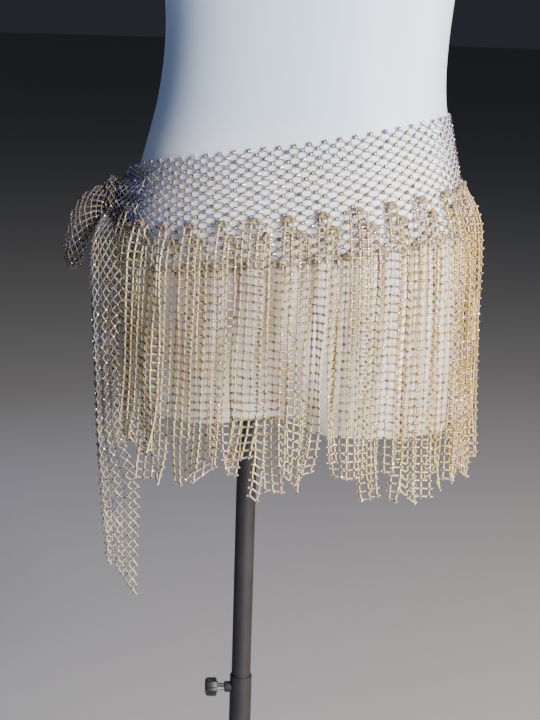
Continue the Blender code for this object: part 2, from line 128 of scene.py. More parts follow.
def mesh_from(name, shape, materials=()):
    """A mesh made from an editable shape, with its materials in order."""
    mesh = bpy.data.meshes.new(name)
    shape.to_mesh(mesh)
    shape.free()
    for material in materials:
        mesh.materials.append(material)
    return mesh


def place_floor():
    """A wide disc in plain paint, which belongs to the stage."""
    paint = bpy.data.materials.new("floor_paint")
    paint.use_nodes = True
    shader = paint.node_tree.nodes["Principled BSDF"]
    shader.inputs["Base Color"].default_value = (*FLOOR_COLOUR, 1.0)
    shader.inputs["Roughness"].default_value = FLOOR_ROUGHNESS
    shape = bmesh.new()
    bmesh.ops.create_circle(shape, cap_ends=True, radius=FLOOR_RADIUS, segments=FLOOR_SIDES)
    floor = add_object("floor", mesh_from("floor", shape, [paint]))


def place_lights():
    """The faint grey-blue world and the light panels."""
    world = bpy.data.worlds.new("studio")
    world.use_nodes = True
    backdrop = world.node_tree.nodes["Background"]
    backdrop.inputs["Color"].default_value = (*WORLD_COLOUR, 1.0)
    backdrop.inputs["Strength"].default_value = WORLD_STRENGTH
    bpy.context.scene.world = world
    for panel in PANELS:
        lamp = bpy.data.lights.new(panel.name, "AREA")
        lamp.size = panel.width
        lamp.energy = panel.power
        lamp.color = panel.colour
        holder = add_object(panel.name, lamp)
        holder.location = panel.place
        heading = LOOK_AT - Vector(panel.place)
        holder.rotation_euler = heading.to_track_quat("-Z", "Y").to_euler()


place_floor()
place_lights()
print("light panels:", [panel.name for panel in PANELS])

# %% [markdown]
# ## Shared finishes
#
# Three effects come back on several materials: the ply and colour drift of
# yarn, the colours of coated stones, and the faint specks of paint and plastic.
# Each is a shader node group with named inputs, built once and placed in each
# material with its own values. The groups read Object coordinates, so a pattern
# stays put on the piece, and the "tint" that each thread or stone carries.

# %% Helpers for shader groups
COLOUR = "NodeSocketColor"
NUMBER = "NodeSocketFloat"


def new_group(name, colours, numbers, results):
    """A shader node group with its named sockets, and its inner ends."""
    group = bpy.data.node_groups.new(name, "ShaderNodeTree")
    inputs = [(label, COLOUR, (1, 1, 1, 1)) for label in colours]
    inputs += [(label, NUMBER, value) for label, value in numbers.items()]
    for label, kind, value in inputs:
        socket = group.interface.new_socket(name=label, in_out="INPUT", socket_type=kind)
        socket.default_value = value
    for label in results:
        kind = COLOUR if label == "Color" else NUMBER
        group.interface.new_socket(name=label, in_out="OUTPUT", socket_type=kind)
    return group, group.nodes.new("NodeGroupInput").outputs, group.nodes.new("NodeGroupOutput").inputs


def add_node(tree, kind, values=None, **settings):
    """A node with its settings, and with values or links for its named inputs."""
    node = tree.nodes.new(kind)
    for key, setting in settings.items():
        setattr(node, key, setting)
    for label, value in (values or {}).items():
        if isinstance(value, bpy.types.NodeSocket):
            tree.links.new(value, node.inputs[label])
        else:
            node.inputs[label].default_value = value
    return node


def noise_of(tree, scale, detail=2.0):
    """Noise over the object's own coordinates."""
    place = add_node(tree, "ShaderNodeTexCoord")
    values = {"Vector": place.outputs["Object"], "Scale": scale, "Detail": detail}
    return add_node(tree, "ShaderNodeTexNoise", values).outputs["Fac"]


def spread(tree, value, low, high):
    """Stretch a narrow range of values to 0 to 1."""
    values = {"Value": value, "From Min": low, "From Max": high}
    return add_node(tree, "ShaderNodeMapRange", values).outputs["Result"]


def math_of(tree, operation, first, second=0.5, **settings):
    """One step of arithmetic, which returns its result socket."""
    values = {0: first, 1: second}
    return add_node(tree, "ShaderNodeMath", values, operation=operation, **settings).outputs[0]


def own_tint(tree):
    """The number that each thread or stone carries."""
    return add_node(tree, "ShaderNodeAttribute", attribute_name="tint").outputs["Fac"]


def blend_colours(tree, share, first, second):
    """A colour mix, which returns its result socket."""
    values = {0: share, 6: first, 7: second}
    return add_node(tree, "ShaderNodeMix", values, data_type="RGBA").outputs[2]


def deliver(group, leave, *results):
    """Link the results to the group's outputs, in their order."""
    for result, socket in zip(results, leave):
        group.links.new(result, socket)
    return group


# %% The yarn group
DRIFT_SCALE = 16.0
DRIFT_RANGE = (0.35, 0.65)
BLUSH_SCALE = 38.0
BLUSH_DETAIL = 3.0
BLUSH_RANGE = (0.52, 0.66)
PLY_SCALE = 520.0
PLY_BEND = 1.5
PLY_GROOVE_SHADE = 0.32
# Painted glints: small pale, glossier specks on the yarn.
GLINT_SPECK_SCALE = 2600.0
GLINT_SPECK_DETAIL = 1.0
GLINT_SPECK_RANGE = (0.60, 0.78)
GLINT_SPECK_COLOUR = (1.0, 0.96, 0.86, 1.0)
GLINT_SPECK_GLOSS = 0.25
# Painted shade: yarn whose tint passes 1.5 turns towards a dark grey.
SHADE_FROM_TINT = 1.5
PAINTED_SHADE_YARN = (0.20, 0.185, 0.21, 1.0)


def yarn_group():
    """Plied metallic yarn: drifting gold by thread, painted shade where the tint is high, and specks of
    painted glint.
    """
    colours = ("Pale", "Deep", "Blush")
    results = ("Color", "Roughness", "Height")
    group, enter, leave = new_group("plied_yarn", colours, {"Roughness": 0.5}, results)
    tint = own_tint(group)
    drift = spread(group, noise_of(group, DRIFT_SCALE), *DRIFT_RANGE)
    share = math_of(group, "MULTIPLY", math_of(group, "ADD", drift, tint), 0.5)
    gold = blend_colours(group, share, enter["Deep"], enter["Pale"])
    patches = spread(group, noise_of(group, BLUSH_SCALE, BLUSH_DETAIL), *BLUSH_RANGE)
    body = blend_colours(group, patches, gold, enter["Blush"])
    # Painted shade: a high tint darkens the yarn, as in the shade by the knot.
    shade_share = math_of(group, "ADD", tint, -SHADE_FROM_TINT, use_clamp=True)
    body = blend_colours(group, shade_share, body, PAINTED_SHADE_YARN)
    place = add_node(group, "ShaderNodeTexCoord").outputs["Object"]
    values = {"Vector": place, "Scale": PLY_SCALE, "Distortion": PLY_BEND, "Detail": 1.0}
    ply = add_node(group, "ShaderNodeTexWave", values, bands_direction="DIAGONAL").outputs["Fac"]
    # Painted shade: the yarn's colour is darkened in the grooves between the plies.
    groove_shade = math_of(group, "ADD", math_of(group, "MULTIPLY", ply, PLY_GROOVE_SHADE), 1 - PLY_GROOVE_SHADE)
    shaded = add_node(group, "ShaderNodeVectorMath", {0: body, 1: groove_shade}, operation="MULTIPLY")
    # Painted glints: pale specks mixed into the yarn's colour.
    glint_speck = spread(group, noise_of(group, GLINT_SPECK_SCALE, GLINT_SPECK_DETAIL), *GLINT_SPECK_RANGE)
    glinted = blend_colours(group, glint_speck, shaded.outputs[0], GLINT_SPECK_COLOUR)
    gloss = math_of(group, "ADD", math_of(group, "MULTIPLY", glint_speck, -GLINT_SPECK_GLOSS), enter["Roughness"])
    return deliver(group, leave, glinted, gloss, ply)


YARN = yarn_group()
print("group", YARN.name, "reads", [item.name for item in YARN.interface.items_tree])

# %% The stone group
ColourStop = namedtuple("ColourStop", "place colour")
STONE_COLOURS = (
    ColourStop(0.00, (0.100, 0.095, 0.130)),
    ColourStop(0.22, (0.150, 0.138, 0.165)),
    ColourStop(0.36, (0.190, 0.165, 0.400)),
    ColourStop(0.58, (0.105, 0.095, 0.095)),
    ColourStop(0.74, (0.340, 0.300, 0.150)),
    ColourStop(0.83, (0.130, 0.260, 0.310)),
    ColourStop(0.91, (0.320, 0.210, 0.260)),
)
# Painted glints: colours that a share of stones take in place of their own, as pale or tinted sparkle.
PAINTED_GLINT_COLOURS = (
    ColourStop(0.00, (1.00, 0.99, 0.97)),
    ColourStop(0.40, (1.00, 0.93, 0.48)),
    ColourStop(0.60, (1.00, 0.72, 0.70)),
    ColourStop(0.72, (0.72, 1.00, 0.62)),
    ColourStop(0.80, (0.62, 0.66, 1.00)),
    ColourStop(0.92, (0.95, 0.80, 1.00)),
)
FLASH_ORDER = 7.3
CLOUD_SCALE = 900.0
CLOUD_RANGE = (0.3, 0.7)
CLOUD_SHARE = 0.25
POLISH = 0.08
POLISH_SPREAD = 0.12


def banded_colour(tree, place, wanted_stops):
    """One flat colour out of a row of them, picked by a number from 0 to 1."""
    ramp = add_node(tree, "ShaderNodeValToRGB", {"Fac": place})
    ramp.color_ramp.interpolation = "CONSTANT"
    stops = ramp.color_ramp.elements
    while len(stops) < len(wanted_stops):
        stops.new(0.5)
    for stop, wanted in zip(stops, wanted_stops):
        stop.position = wanted.place
        stop.color = (*wanted.colour, 1.0)
    return ramp.outputs["Color"]


def stone_group():
    """Coated glass: each stone takes its own colour, and a share of them is painted with a pale or tinted
    glint.
    """
    numbers = {"Lightness": 0.0, "Dark Share": 0.5}
    group, enter, leave = new_group("coated_stone", ("Light",), numbers, ("Color", "Roughness"))
    tint = own_tint(group)
    dark = banded_colour(group, tint, STONE_COLOURS)
    cloud = spread(group, noise_of(group, CLOUD_SCALE), *CLOUD_RANGE)
    lot = math_of(group, "FRACT", math_of(group, "MULTIPLY", tint, FLASH_ORDER))
    chosen = math_of(group, "GREATER_THAN", lot, enter["Dark Share"])
    # Painted glint: a stone whose lot passes the dark share is painted in the glint colour, and a soft
    # noise lifts every stone a little towards it.
    painted_glint = math_of(group, "MULTIPLY", chosen, enter["Lightness"])
    share = math_of(group, "ADD", math_of(group, "MULTIPLY", cloud, CLOUD_SHARE), painted_glint)
    glint_colour = banded_colour(group, lot, PAINTED_GLINT_COLOURS)
    glint_light = add_node(group, "ShaderNodeVectorMath", {0: enter["Light"], 1: glint_colour}, operation="MULTIPLY")
    colour = blend_colours(group, share, dark, glint_light.outputs[0])
    polish = math_of(group, "ADD", math_of(group, "MULTIPLY", cloud, POLISH_SPREAD), POLISH)
    return deliver(group, leave, colour, polish)


STONE = stone_group()
print("stone colours:", len(STONE_COLOURS), "and glints:", len(PAINTED_GLINT_COLOURS))

# %% The speckle group
MOTTLE_RANGE = (0.45, 0.85)
MOTTLE_DETAIL = 5.0
MOTTLE_ROUGHNESS = 0.16
GRAIN_DETAIL = 3.0


def speckle_group():
    """Paint and moulded shells: a faint mottle, rarer scuffs and a very fine grain."""
    numbers = {"Mottle Scale": 20.0, "Grain Scale": 1500.0, "Roughness": 0.5}
    results = ("Color", "Roughness", "Height")
    group, enter, leave = new_group("fine_speckle", ("Base", "Scuff"), numbers, results)
    mottle = spread(group, noise_of(group, enter["Mottle Scale"], MOTTLE_DETAIL), *MOTTLE_RANGE)
    colour = blend_colours(group, mottle, enter["Base"], enter["Scuff"])
    change = math_of(group, "MULTIPLY", mottle, MOTTLE_ROUGHNESS)
    rough = math_of(group, "ADD", change, enter["Roughness"])
    grain = noise_of(group, enter["Grain Scale"], GRAIN_DETAIL)
    return deliver(group, leave, colour, rough, grain)


SPECKLE = speckle_group()
print("group", SPECKLE.name, "is ready")

# %% [markdown]
# ## Materials
#
# The belt is knitted from champagne-gold metallic yarn, so its material is a
# rough one with a little metal and sheen, and the knot and the ends use darker
# copies of it, painted as the shade on that side of the hip. A stone is three
# materials: a metal cup painted mostly cobalt as a violet-blue reflection, a
# darker crown in the coating's colours, and a flat table; a share of each is
# painted with a pale or tinted glint, most of all the table. The form is matt
# white, with a painted cool shade above the belt, where less light falls. The
# stand is satin black.

# %% Make the materials
# A bump is its strength and its depth in metres.
YARN_BUMP = (0.5, 0.0002)
PAINT_BUMP = (0.25, 0.0001)
STONE_COAT = 0.5
# Painted shade: the form turns darker and bluer above the belt, where less light falls.
PAINTED_TOP_SHADE = (0.655, 0.785, 0.93, 1.0)
TOP_SHADE_HEIGHTS = (0.93, 0.99)


def finish_with(name, group, values, bump=None, **constants):
    """A Principled material fed by one group, with constants on the shader itself."""
    material = bpy.data.materials.new(name)
    material.use_nodes = True
    tree = material.node_tree
    shader = tree.nodes["Principled BSDF"].inputs
    for label, value in constants.items():
        shader[label.replace("_", " ").title()].default_value = value
    effect = add_node(tree, "ShaderNodeGroup", node_tree=group)
    for label, value in values.items():
        effect.inputs[label].default_value = value
    tree.links.new(effect.outputs["Color"], shader["Base Color"])
    tree.links.new(effect.outputs["Roughness"], shader["Roughness"])
    if bump:
        strength, distance = bump
        relief = {"Height": effect.outputs["Height"], "Strength": strength, "Distance": distance}
        tree.links.new(add_node(tree, "ShaderNodeBump", relief).outputs["Normal"], shader["Normal"])
    return material


def yarn_material(name, lit_share, deep, blush, roughness, metallic, sheen=0.1):
    """Plied yarn in two shades of gold, with patches of a third."""
    values = {"Pale": (*lit_share, 1.0), "Deep": (*deep, 1.0), "Blush": (*blush, 1.0), "Roughness": roughness}
    return finish_with(name, YARN, values, YARN_BUMP, metallic=metallic, sheen_weight=sheen)


def stone_material(name, glint_light, painted_glint_strength, dark_share, metallic):
    """One part of a stone, with a share of stones painted in its glint colour."""
    values = {"Light": (*glint_light, 1.0), "Lightness": painted_glint_strength, "Dark Share": dark_share}
    return finish_with(name, STONE, values, metallic=metallic, coat_weight=STONE_COAT)


def painted_material(name, base, scuff, scales, roughness, metallic=0.0):
    """Paint or moulded plastic, with the scales of its mottle and its grain."""
    values = {"Base": (*base, 1.0), "Scuff": (*scuff, 1.0), "Roughness": roughness}
    values["Mottle Scale"], values["Grain Scale"] = scales
    return finish_with(name, SPECKLE, values, PAINT_BUMP, metallic=metallic)


def paint_top_shade(material, top_shade, low, high):
    """A painted cool shade that comes in between two heights, above the belt, where less light falls on the
    shell.
    """
    tree = material.node_tree
    place = add_node(tree, "ShaderNodeTexCoord").outputs["Object"]
    height = add_node(tree, "ShaderNodeSeparateXYZ", {"Vector": place}).outputs["Z"]
    base = tree.nodes["Principled BSDF"].inputs["Base Color"]
    clean = base.links[0].from_socket
    tree.links.new(blend_colours(tree, spread(tree, height, low, high), clean, top_shade), base)


CHAMPAGNE, TAN, ROSE = (0.97, 0.91, 0.80), (0.72, 0.62, 0.47), (0.90, 0.78, 0.76)
CREAM, GOLD, PINK = (1.0, 0.84, 0.42), (0.70, 0.46, 0.10), (0.86, 0.57, 0.37)
BRONZE, UMBER, SLATE = (0.24, 0.18, 0.125), (0.10, 0.078, 0.060), (0.13, 0.12, 0.15)
STRAW, OLIVE, SMOKE = (0.68, 0.58, 0.36), (0.14, 0.115, 0.085), (0.19, 0.175, 0.20)
CORD, COCOA, CLAY = (0.38, 0.28, 0.145), (0.23, 0.165, 0.08), (0.33, 0.24, 0.15)
COBALT, MAUVE = (0.14, 0.13, 0.50), (0.55, 0.52, 0.58)
CLEAR, IVORY = (1.0, 0.99, 0.98), (1.0, 0.99, 0.94)
MATT_WHITE, WORN_WHITE = (0.93, 0.93, 0.935), (0.90, 0.90, 0.91)
BLACK, WORN_BLACK = (0.012, 0.012, 0.014), (0.022, 0.022, 0.025)
SOFT_BLACK, RUBBED_BLACK = (0.02, 0.02, 0.021), (0.035, 0.035, 0.035)
STEEL, DULL_STEEL = (0.70, 0.71, 0.73), (0.58, 0.59, 0.61)
band_yarn = yarn_material("band_yarn", CHAMPAGNE, TAN, ROSE, roughness=0.45, metallic=0.10)
strip_yarn = yarn_material("strip_yarn", CREAM, GOLD, PINK, roughness=0.38, metallic=0.30)
# Painted shade: the knot's yarn is a darker copy of the band's, for the shade by the knot.
knot_yarn = yarn_material("knot_yarn", BRONZE, UMBER, SLATE, roughness=0.40, metallic=0.35)
end_yarn = yarn_material("end_yarn", STRAW, OLIVE, SMOKE, roughness=0.40, metallic=0.30)
rosette_yarn = yarn_material("rosette_yarn", CORD, COCOA, CLAY, roughness=0.60, metallic=0.15, sheen=0.2)
# Painted glints: each part paints a share of stones in its glint colour; the cups mostly cobalt, as a
# painted violet-blue reflection.
stone_cup = stone_material("stone_cup", COBALT, painted_glint_strength=0.85, dark_share=0.25, metallic=0.9)
stone_crown = stone_material("stone_crown", MAUVE, painted_glint_strength=0.25, dark_share=0.88, metallic=0.70)
stone_table = stone_material("stone_table", CLEAR, painted_glint_strength=0.97, dark_share=0.16, metallic=0.05)
small_table = stone_material("small_table", IVORY, painted_glint_strength=0.93, dark_share=0.42, metallic=0.25)
form_skin = painted_material("form_skin", MATT_WHITE, WORN_WHITE, (7.0, 1400.0), roughness=0.50)
# Painted shade on the form's upper part.
paint_top_shade(form_skin, PAINTED_TOP_SHADE, *TOP_SHADE_HEIGHTS)
stand_paint = painted_material("stand_paint", BLACK, WORN_BLACK, (45.0, 1800.0), roughness=0.58)
knob_plastic = painted_material("knob_plastic", SOFT_BLACK, RUBBED_BLACK, (90.0, 2500.0), roughness=0.42)
bare_steel = painted_material("bare_steel", STEEL, DULL_STEEL, (150.0, 3000.0), 0.16, metallic=1.0)
print("materials:", len(bpy.data.materials))

# %% [markdown]
# ## The hip form
#
# Every other piece is placed from the form's surface. The form is a moulded
# shell without limbs. Its outline at each measured level is a squared ellipse,
# with a cleft where the thighs part, and a smooth curve runs through the levels,
# so one short table describes it. A lofted grid of rings was chosen over
# sculpting, because the belt can then ask for any point of the same surface.

# %% The form's outline and surface
FormRow = namedtuple("FormRow", "height centre_x half_width front back cleft")
FORM_ROWS = (
    FormRow(0.700, 0.0440, 0.1570, 0.100, 0.098, 0.58),
    FormRow(0.740, 0.0420, 0.1600, 0.106, 0.108, 0.26),
    FormRow(0.790, 0.0400, 0.1620, 0.110, 0.118, 0.05),
    FormRow(0.840, 0.0400, 0.1615, 0.110, 0.122, 0.00),
    FormRow(0.890, 0.0390, 0.1590, 0.107, 0.115, 0.00),
    FormRow(0.940, 0.0415, 0.1465, 0.102, 0.102, 0.00),
    FormRow(1.000, 0.0430, 0.1330, 0.096, 0.088, 0.00),
    FormRow(1.060, 0.0455, 0.1305, 0.092, 0.084, 0.00),
    FormRow(1.150, 0.0465, 0.1390, 0.096, 0.090, 0.00),
)
FORM_SQUARENESS = 2.25
CLEFT_WIDTH = 0.24
BACK_CLEFT_SHARE = 0.6
# A hump is a smooth rise round one angle of the form, and falls off over its spread.
Hump = namedtuple("Hump", "size middle spread")


def blend_rows(rows, height):
    """Read a table of rows at a height between its levels, with a smooth curve through them."""
    levels = [row.height for row in rows]
    height = min(max(height, levels[0]), levels[-1])
    last = len(rows) - 1
    low = max(i for i in range(last) if levels[i] <= height)
    span = levels[low + 1] - levels[low]
    share = (height - levels[low]) / span

    def slope(i, name):
        """How fast a column rises at a level."""
        before = max(i - 1, 0)
        after = min(i + 1, last)
        rise = getattr(rows[after], name) - getattr(rows[before], name)
        return rise / (levels[after] - levels[before])

    def read(name):
        """A column's value at the height."""
        start = getattr(rows[low], name)
        end = getattr(rows[low + 1], name)
        ease = share * share * (3 - 2 * share)
        lead = share * (1 - share) ** 2 * span * slope(low, name)
        trail = share * share * (share - 1) * span * slope(low + 1, name)
        return start + (end - start) * ease + lead + trail

    return type(rows[0])(*(read(name) for name in rows[0]._fields))


def hump_at(hump, angle):
    """Height of a smooth hump at an angle round the form, in degrees."""
    away = (angle - hump.middle + 180.0) % 360.0 - 180.0
    return hump.size * exp(-((away / hump.spread) ** 2))


def outline_point(row, angle):
    """A point of the form's level outline, from a squared ellipse with a cleft."""
    turn = radians(angle)
    power = 2 / FORM_SQUARENESS
    across = row.half_width * copysign(abs(cos(turn)) ** power, cos(turn))
    front_side = sin(turn) < 0
    reach = row.front if front_side else row.back
    depth = reach * copysign(abs(sin(turn)) ** power, sin(turn))
    cleft = row.cleft * (1.0 if front_side else BACK_CLEFT_SHARE)
    cleft *= exp(-((across / row.half_width / CLEFT_WIDTH) ** 2))
    return row.centre_x + across, depth * (1 - cleft)


def form_frame(angle, height):
    """The form's surface point, and the level directions out of it and along it."""
    row = blend_rows(FORM_ROWS, height)
    step = 0.1
    before = outline_point(row, angle - step)
    after = outline_point(row, angle + step)
    along = Vector((after[0] - before[0], after[1] - before[1], 0.0)).normalized()
    out = Vector((along.y, -along.x, 0.0))
    x, y = outline_point(row, angle)
    return Vector((x, y, height)), out, along


def form_point(angle, height, out=0.0):
    """A point at a level distance outside the form."""
    point, outward, _ = form_frame(angle, height)
    return point + outward * out


print("front of the hips at", tuple(round(v, 3) for v in form_point(270, 0.84)))

# %% Tools that turn rings into a finished piece
SHARP_ANGLE = 35.0


def skin_rows(shape, rows):
    """Faces between each row of corners and the next, all the way round."""
    made = []
    for first, second in zip(rows, rows[1:]):
        for i in range(len(first)):
            j = (i + 1) % len(first)
            made.append(shape.faces.new((first[i], first[j], second[j], second[i])))
    return made


def loft_rings(shape, rings, material_index=0, hollow=False):
    """Skin rings of points, and close both ends or join the last ring to the first."""
    rows = [[shape.verts.new(point) for point in ring] for ring in rings]
    made = skin_rows(shape, rows + rows[:1] if hollow else rows)
    ends = () if hollow else (rows[0], rows[-1])
    for ring in ends:
        middle = shape.verts.new(sum((v.co for v in ring), Vector()) / len(ring))
        for i, vertex in enumerate(ring):
            made.append(shape.faces.new((vertex, ring[(i + 1) % len(ring)], middle)))
    for face in made:
        face.material_index = material_index


def finish_piece(name, shape, materials, body, nodes):
    """Make the object, and tell the frame what it rides on and stands for."""
    bmesh.ops.recalc_face_normals(shape, faces=shape.faces)
    mesh = mesh_from(name, shape, materials)
    mesh.shade_smooth()
    mesh.set_sharp_from_angle(angle=radians(SHARP_ANGLE))
    return join_frame(add_object(name, mesh), body, nodes)


def join_frame(piece, body, nodes):
    """The piece rides on its body and stands for its CAD nodes."""
    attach(piece, body)
    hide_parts(*nodes)
    triangles = sum(len(face.vertices) - 2 for face in piece.data.polygons)
    print(f"{piece.name}: {triangles} triangles on {body}")
    return piece


# %% Loft the form
FORM_STEPS = 168
FORM_RINGS = 84
FORM_RIM = 0.004
RIM_STEPS = 5


def build_form():
    """The form in fine rings, with its two edges rounded."""
    bottom = FORM_ROWS[0].height
    top = FORM_ROWS[-1].height
    angles = [360.0 * i / FORM_STEPS for i in range(FORM_STEPS)]
    levels = []
    for i in range(RIM_STEPS):
        turn = pi / 2 * i / RIM_STEPS
        levels.append((FORM_RIM * (1 - cos(turn)), FORM_RIM * (sin(turn) - 1)))
    rim_low = [(bottom + rise, inset) for rise, inset in levels]
    rim_high = [(top - rise, inset) for rise, inset in reversed(levels)]
    body = top - bottom - 2 * FORM_RIM
    middle = [(bottom + FORM_RIM + body * i / FORM_RINGS, 0.0) for i in range(FORM_RINGS + 1)]
    rings = []
    for height, inset in rim_low + middle + rim_high:
        rings.append([form_point(angle, height, inset) for angle in angles])
    shape = bmesh.new()
    loft_rings(shape, rings)
    return finish_piece("hip_form", shape, [form_skin], "display", ["torso_form"])


hip_form = build_form()

# %% [markdown]
# ## How the net is made
#
# The belt is thousands of threads with a stone at each crossing. Modelling one
# cell and arraying it would not follow the hips or the gathers. Instead a script
# lays the net out as bare points and links on the cloth's own surface, and one
# Geometry Nodes tree turns every link into a round thread and sets a stone on
# every marked point, square to the cloth. The same tree makes the band, the
# knot, both tie ends and all the strips, each with its own thread and stones.
# Every point also carries a tint, which its yarn is shaded by: deep when low,
# pale when high, and painted dark grey as shade when very high.

# %% A net as points and links
class Net:
    """Threads of a net: points on the cloth, and the links between them."""

    def __init__(self):
        self.points = []
        self.facing = []
        self.stoned = []
        self.tint = []
        self.swell = []
        self.links = []

    def point(self, place, facing, stoned=False, tint=0.5, swell=1.0):
        """Add a point and return its number."""
        self.points.append(place)
        self.facing.append(facing)
        self.stoned.append(1.0 if stoned else 0.0)
        self.tint.append(tint)
        self.swell.append(swell)
        return len(self.points) - 1

    def link(self, first, second):
        """Run a thread between two points."""
        self.links.append((first, second))

    def link_diamonds(self, grid, around=None):
        """Run threads from each crossing to its two neighbours in the next row."""
        for (row, column), number in grid.items():
            for side in (-1, 1):
                beside = column + side if around is None else (column + side) % around
                if (row + 1, beside) in grid:
                    self.link(number, grid[row + 1, beside])

    def as_object(self, name):
        """A mesh of loose edges that carries each point's values as attributes."""
        mesh = bpy.data.meshes.new(name)
        mesh.from_pydata(self.points, self.links, [])
        facing = mesh.attributes.new("facing", "FLOAT_VECTOR", "POINT")
        facing.data.foreach_set("vector", [v for normal in self.facing for v in normal])
        for label, values in (("stoned", self.stoned), ("tint", self.tint), ("swell", self.swell)):
            mesh.attributes.new(label, "FLOAT", "POINT").data.foreach_set("value", values)
        return add_object(name, mesh)


# %% [markdown]
# ## The stones
#
# A real stone is faceted glass in a small metal cup. At two or three millimetres
# only its flat table, the slope round it and the cup's rim can be told apart, so
# it is a short eight-sided shape with a material for each. It has radius 1, and
# the net's tree sets scaled copies of it, which is lighter than many meshes. The
# band's stones and the small ones differ only in the table's material.

# %% One stone
STONE_SIDES = 8
CUP_HEIGHT = 0.30
CROWN_HEIGHT = 0.66
TABLE_SHARE = 0.50


def build_stone(name, table):
    """A flat-backed stone of radius 1: a metal cup, a sloping crown and a table."""
    shape = bmesh.new()
    rings = []
    for radius, height in ((1.0, 0.0), (1.0, CUP_HEIGHT), (TABLE_SHARE, CROWN_HEIGHT)):
        turns = [2 * pi * i / STONE_SIDES for i in range(STONE_SIDES)]
        rings.append([shape.verts.new((radius * cos(t), radius * sin(t), height)) for t in turns])
    for index in (0, 1):
        for face in skin_rows(shape, rings[index:index + 2]):
            face.material_index = index
    shape.faces.new(reversed(rings[0]))
    shape.faces.new(rings[-1]).material_index = 2
    return bpy.data.objects.new(name, mesh_from(name, shape, (stone_cup, stone_crown, table)))


large_stone = build_stone("large_stone", stone_table)
small_stone = build_stone("small_stone", small_table)
print("one stone has", len(large_stone.data.polygons), "faces")

# %% The Geometry Nodes tree for a net
STONE_TILT = 0.10
NET_INPUTS = (
    ("Geometry", "NodeSocketGeometry"),
    ("Thread Radius", "NodeSocketFloat"),
    ("Thread Sides", "NodeSocketInt"),
    ("Thread Material", "NodeSocketMaterial"),
    ("Stone", "NodeSocketObject"),
    ("Stone Radius", "NodeSocketFloat"),
    ("Stone Lift", "NodeSocketFloat"),
    ("Seed", "NodeSocketInt"),
)


def build_net_tree():
    """Links become threads, and marked points get stones."""
    tree = bpy.data.node_groups.new("stoned_net", "GeometryNodeTree")
    tree.is_modifier = True
    for label, kind in NET_INPUTS:
        tree.interface.new_socket(name=label, in_out="INPUT", socket_type=kind)
    tree.interface.new_socket(name="Geometry", in_out="OUTPUT", socket_type="NodeSocketGeometry")
    enter = tree.nodes.new("NodeGroupInput").outputs

    def step(kind, values=None, **settings):
        """A node's first result."""
        return add_node(tree, kind, values, **settings).outputs[0]

    def stored(label, kind):
        """A value that the net carries."""
        return step("GeometryNodeInputNamedAttribute", {"Name": label}, data_type=kind)

    def mark(stones, label, value, kind):
        """Give every stone a value of its own to carry."""
        values = {"Geometry": stones, "Name": label, "Value": value}
        return step("GeometryNodeStoreNamedAttribute", values, data_type=kind, domain="INSTANCE")

    circle = {"Resolution": enter["Thread Sides"], "Radius": enter["Thread Radius"]}
    thread = {
        "Curve": step("GeometryNodeMeshToCurve", {"Mesh": enter["Geometry"]}),
        "Profile Curve": step("GeometryNodeCurvePrimitiveCircle", circle),
        "Scale": stored("swell", "FLOAT"),
        "Fill Caps": True,
    }
    threads = step("GeometryNodeCurveToMesh", thread)

    facing = {"Vector": stored("facing", "FLOAT_VECTOR")}
    upright = step("FunctionNodeAlignRotationToVector", facing, axis="Z")
    wobble = add_node(tree, "FunctionNodeRandomValue", {"Seed": enter["Seed"]}, data_type="FLOAT_VECTOR")
    wobble.inputs[0].default_value = (-STONE_TILT, -STONE_TILT, 0.0)
    wobble.inputs[1].default_value = (STONE_TILT, STONE_TILT, 2 * pi)
    small_turn = step("FunctionNodeEulerToRotation", {"Euler": wobble.outputs[0]})
    both_turns = {"Rotation": upright, "Rotate By": small_turn}
    stone = add_node(tree, "GeometryNodeObjectInfo", {"Object": enter["Stone"], "As Instance": True})
    seat = {
        "Points": enter["Geometry"],
        "Selection": stored("stoned", "FLOAT"),
        "Instance": stone.outputs["Geometry"],
        "Rotation": step("FunctionNodeRotateRotation", both_turns, rotation_space="LOCAL"),
        "Scale": enter["Stone Radius"],
    }
    lift = step("ShaderNodeCombineXYZ", {"Z": enter["Stone Lift"]})
    raised = {"Instances": step("GeometryNodeInstanceOnPoints", seat), "Translation": lift}
    lot = add_node(tree, "FunctionNodeRandomValue", {"Seed": enter["Seed"]}, data_type="FLOAT")
    stones = mark(step("GeometryNodeTranslateInstances", raised), "tint", lot.outputs[1], "FLOAT")
    stones = mark(stones, "is_stone", True, "BOOLEAN")

    both = add_node(tree, "GeometryNodeJoinGeometry")
    tree.links.new(stones, both.inputs[0])
    tree.links.new(threads, both.inputs[0])
    dressed = {
        "Geometry": step("GeometryNodeRealizeInstances", {"Geometry": both.outputs[0]}),
        "Selection": step("FunctionNodeBooleanMath", {0: stored("is_stone", "BOOLEAN")}, operation="NOT"),
        "Material": enter["Thread Material"],
    }
    tree.links.new(step("GeometryNodeSetMaterial", dressed), tree.nodes.new("NodeGroupOutput").inputs[0])
    return tree


NET_TREE = build_net_tree()
NET_SOCKETS = {
    item.name: item.identifier
    for item in NET_TREE.interface.items_tree
    if item.item_type == "SOCKET" and item.in_out == "INPUT"
}
print("net tree:", len(NET_TREE.nodes), "nodes, inputs", sorted(NET_SOCKETS))

# %% Knit a net into a plain mesh
SPENT_ATTRIBUTES = ("facing", "stoned", "swell", "is_stone")
STONE_LIFT = 0.8
THREAD_SIDES = 4


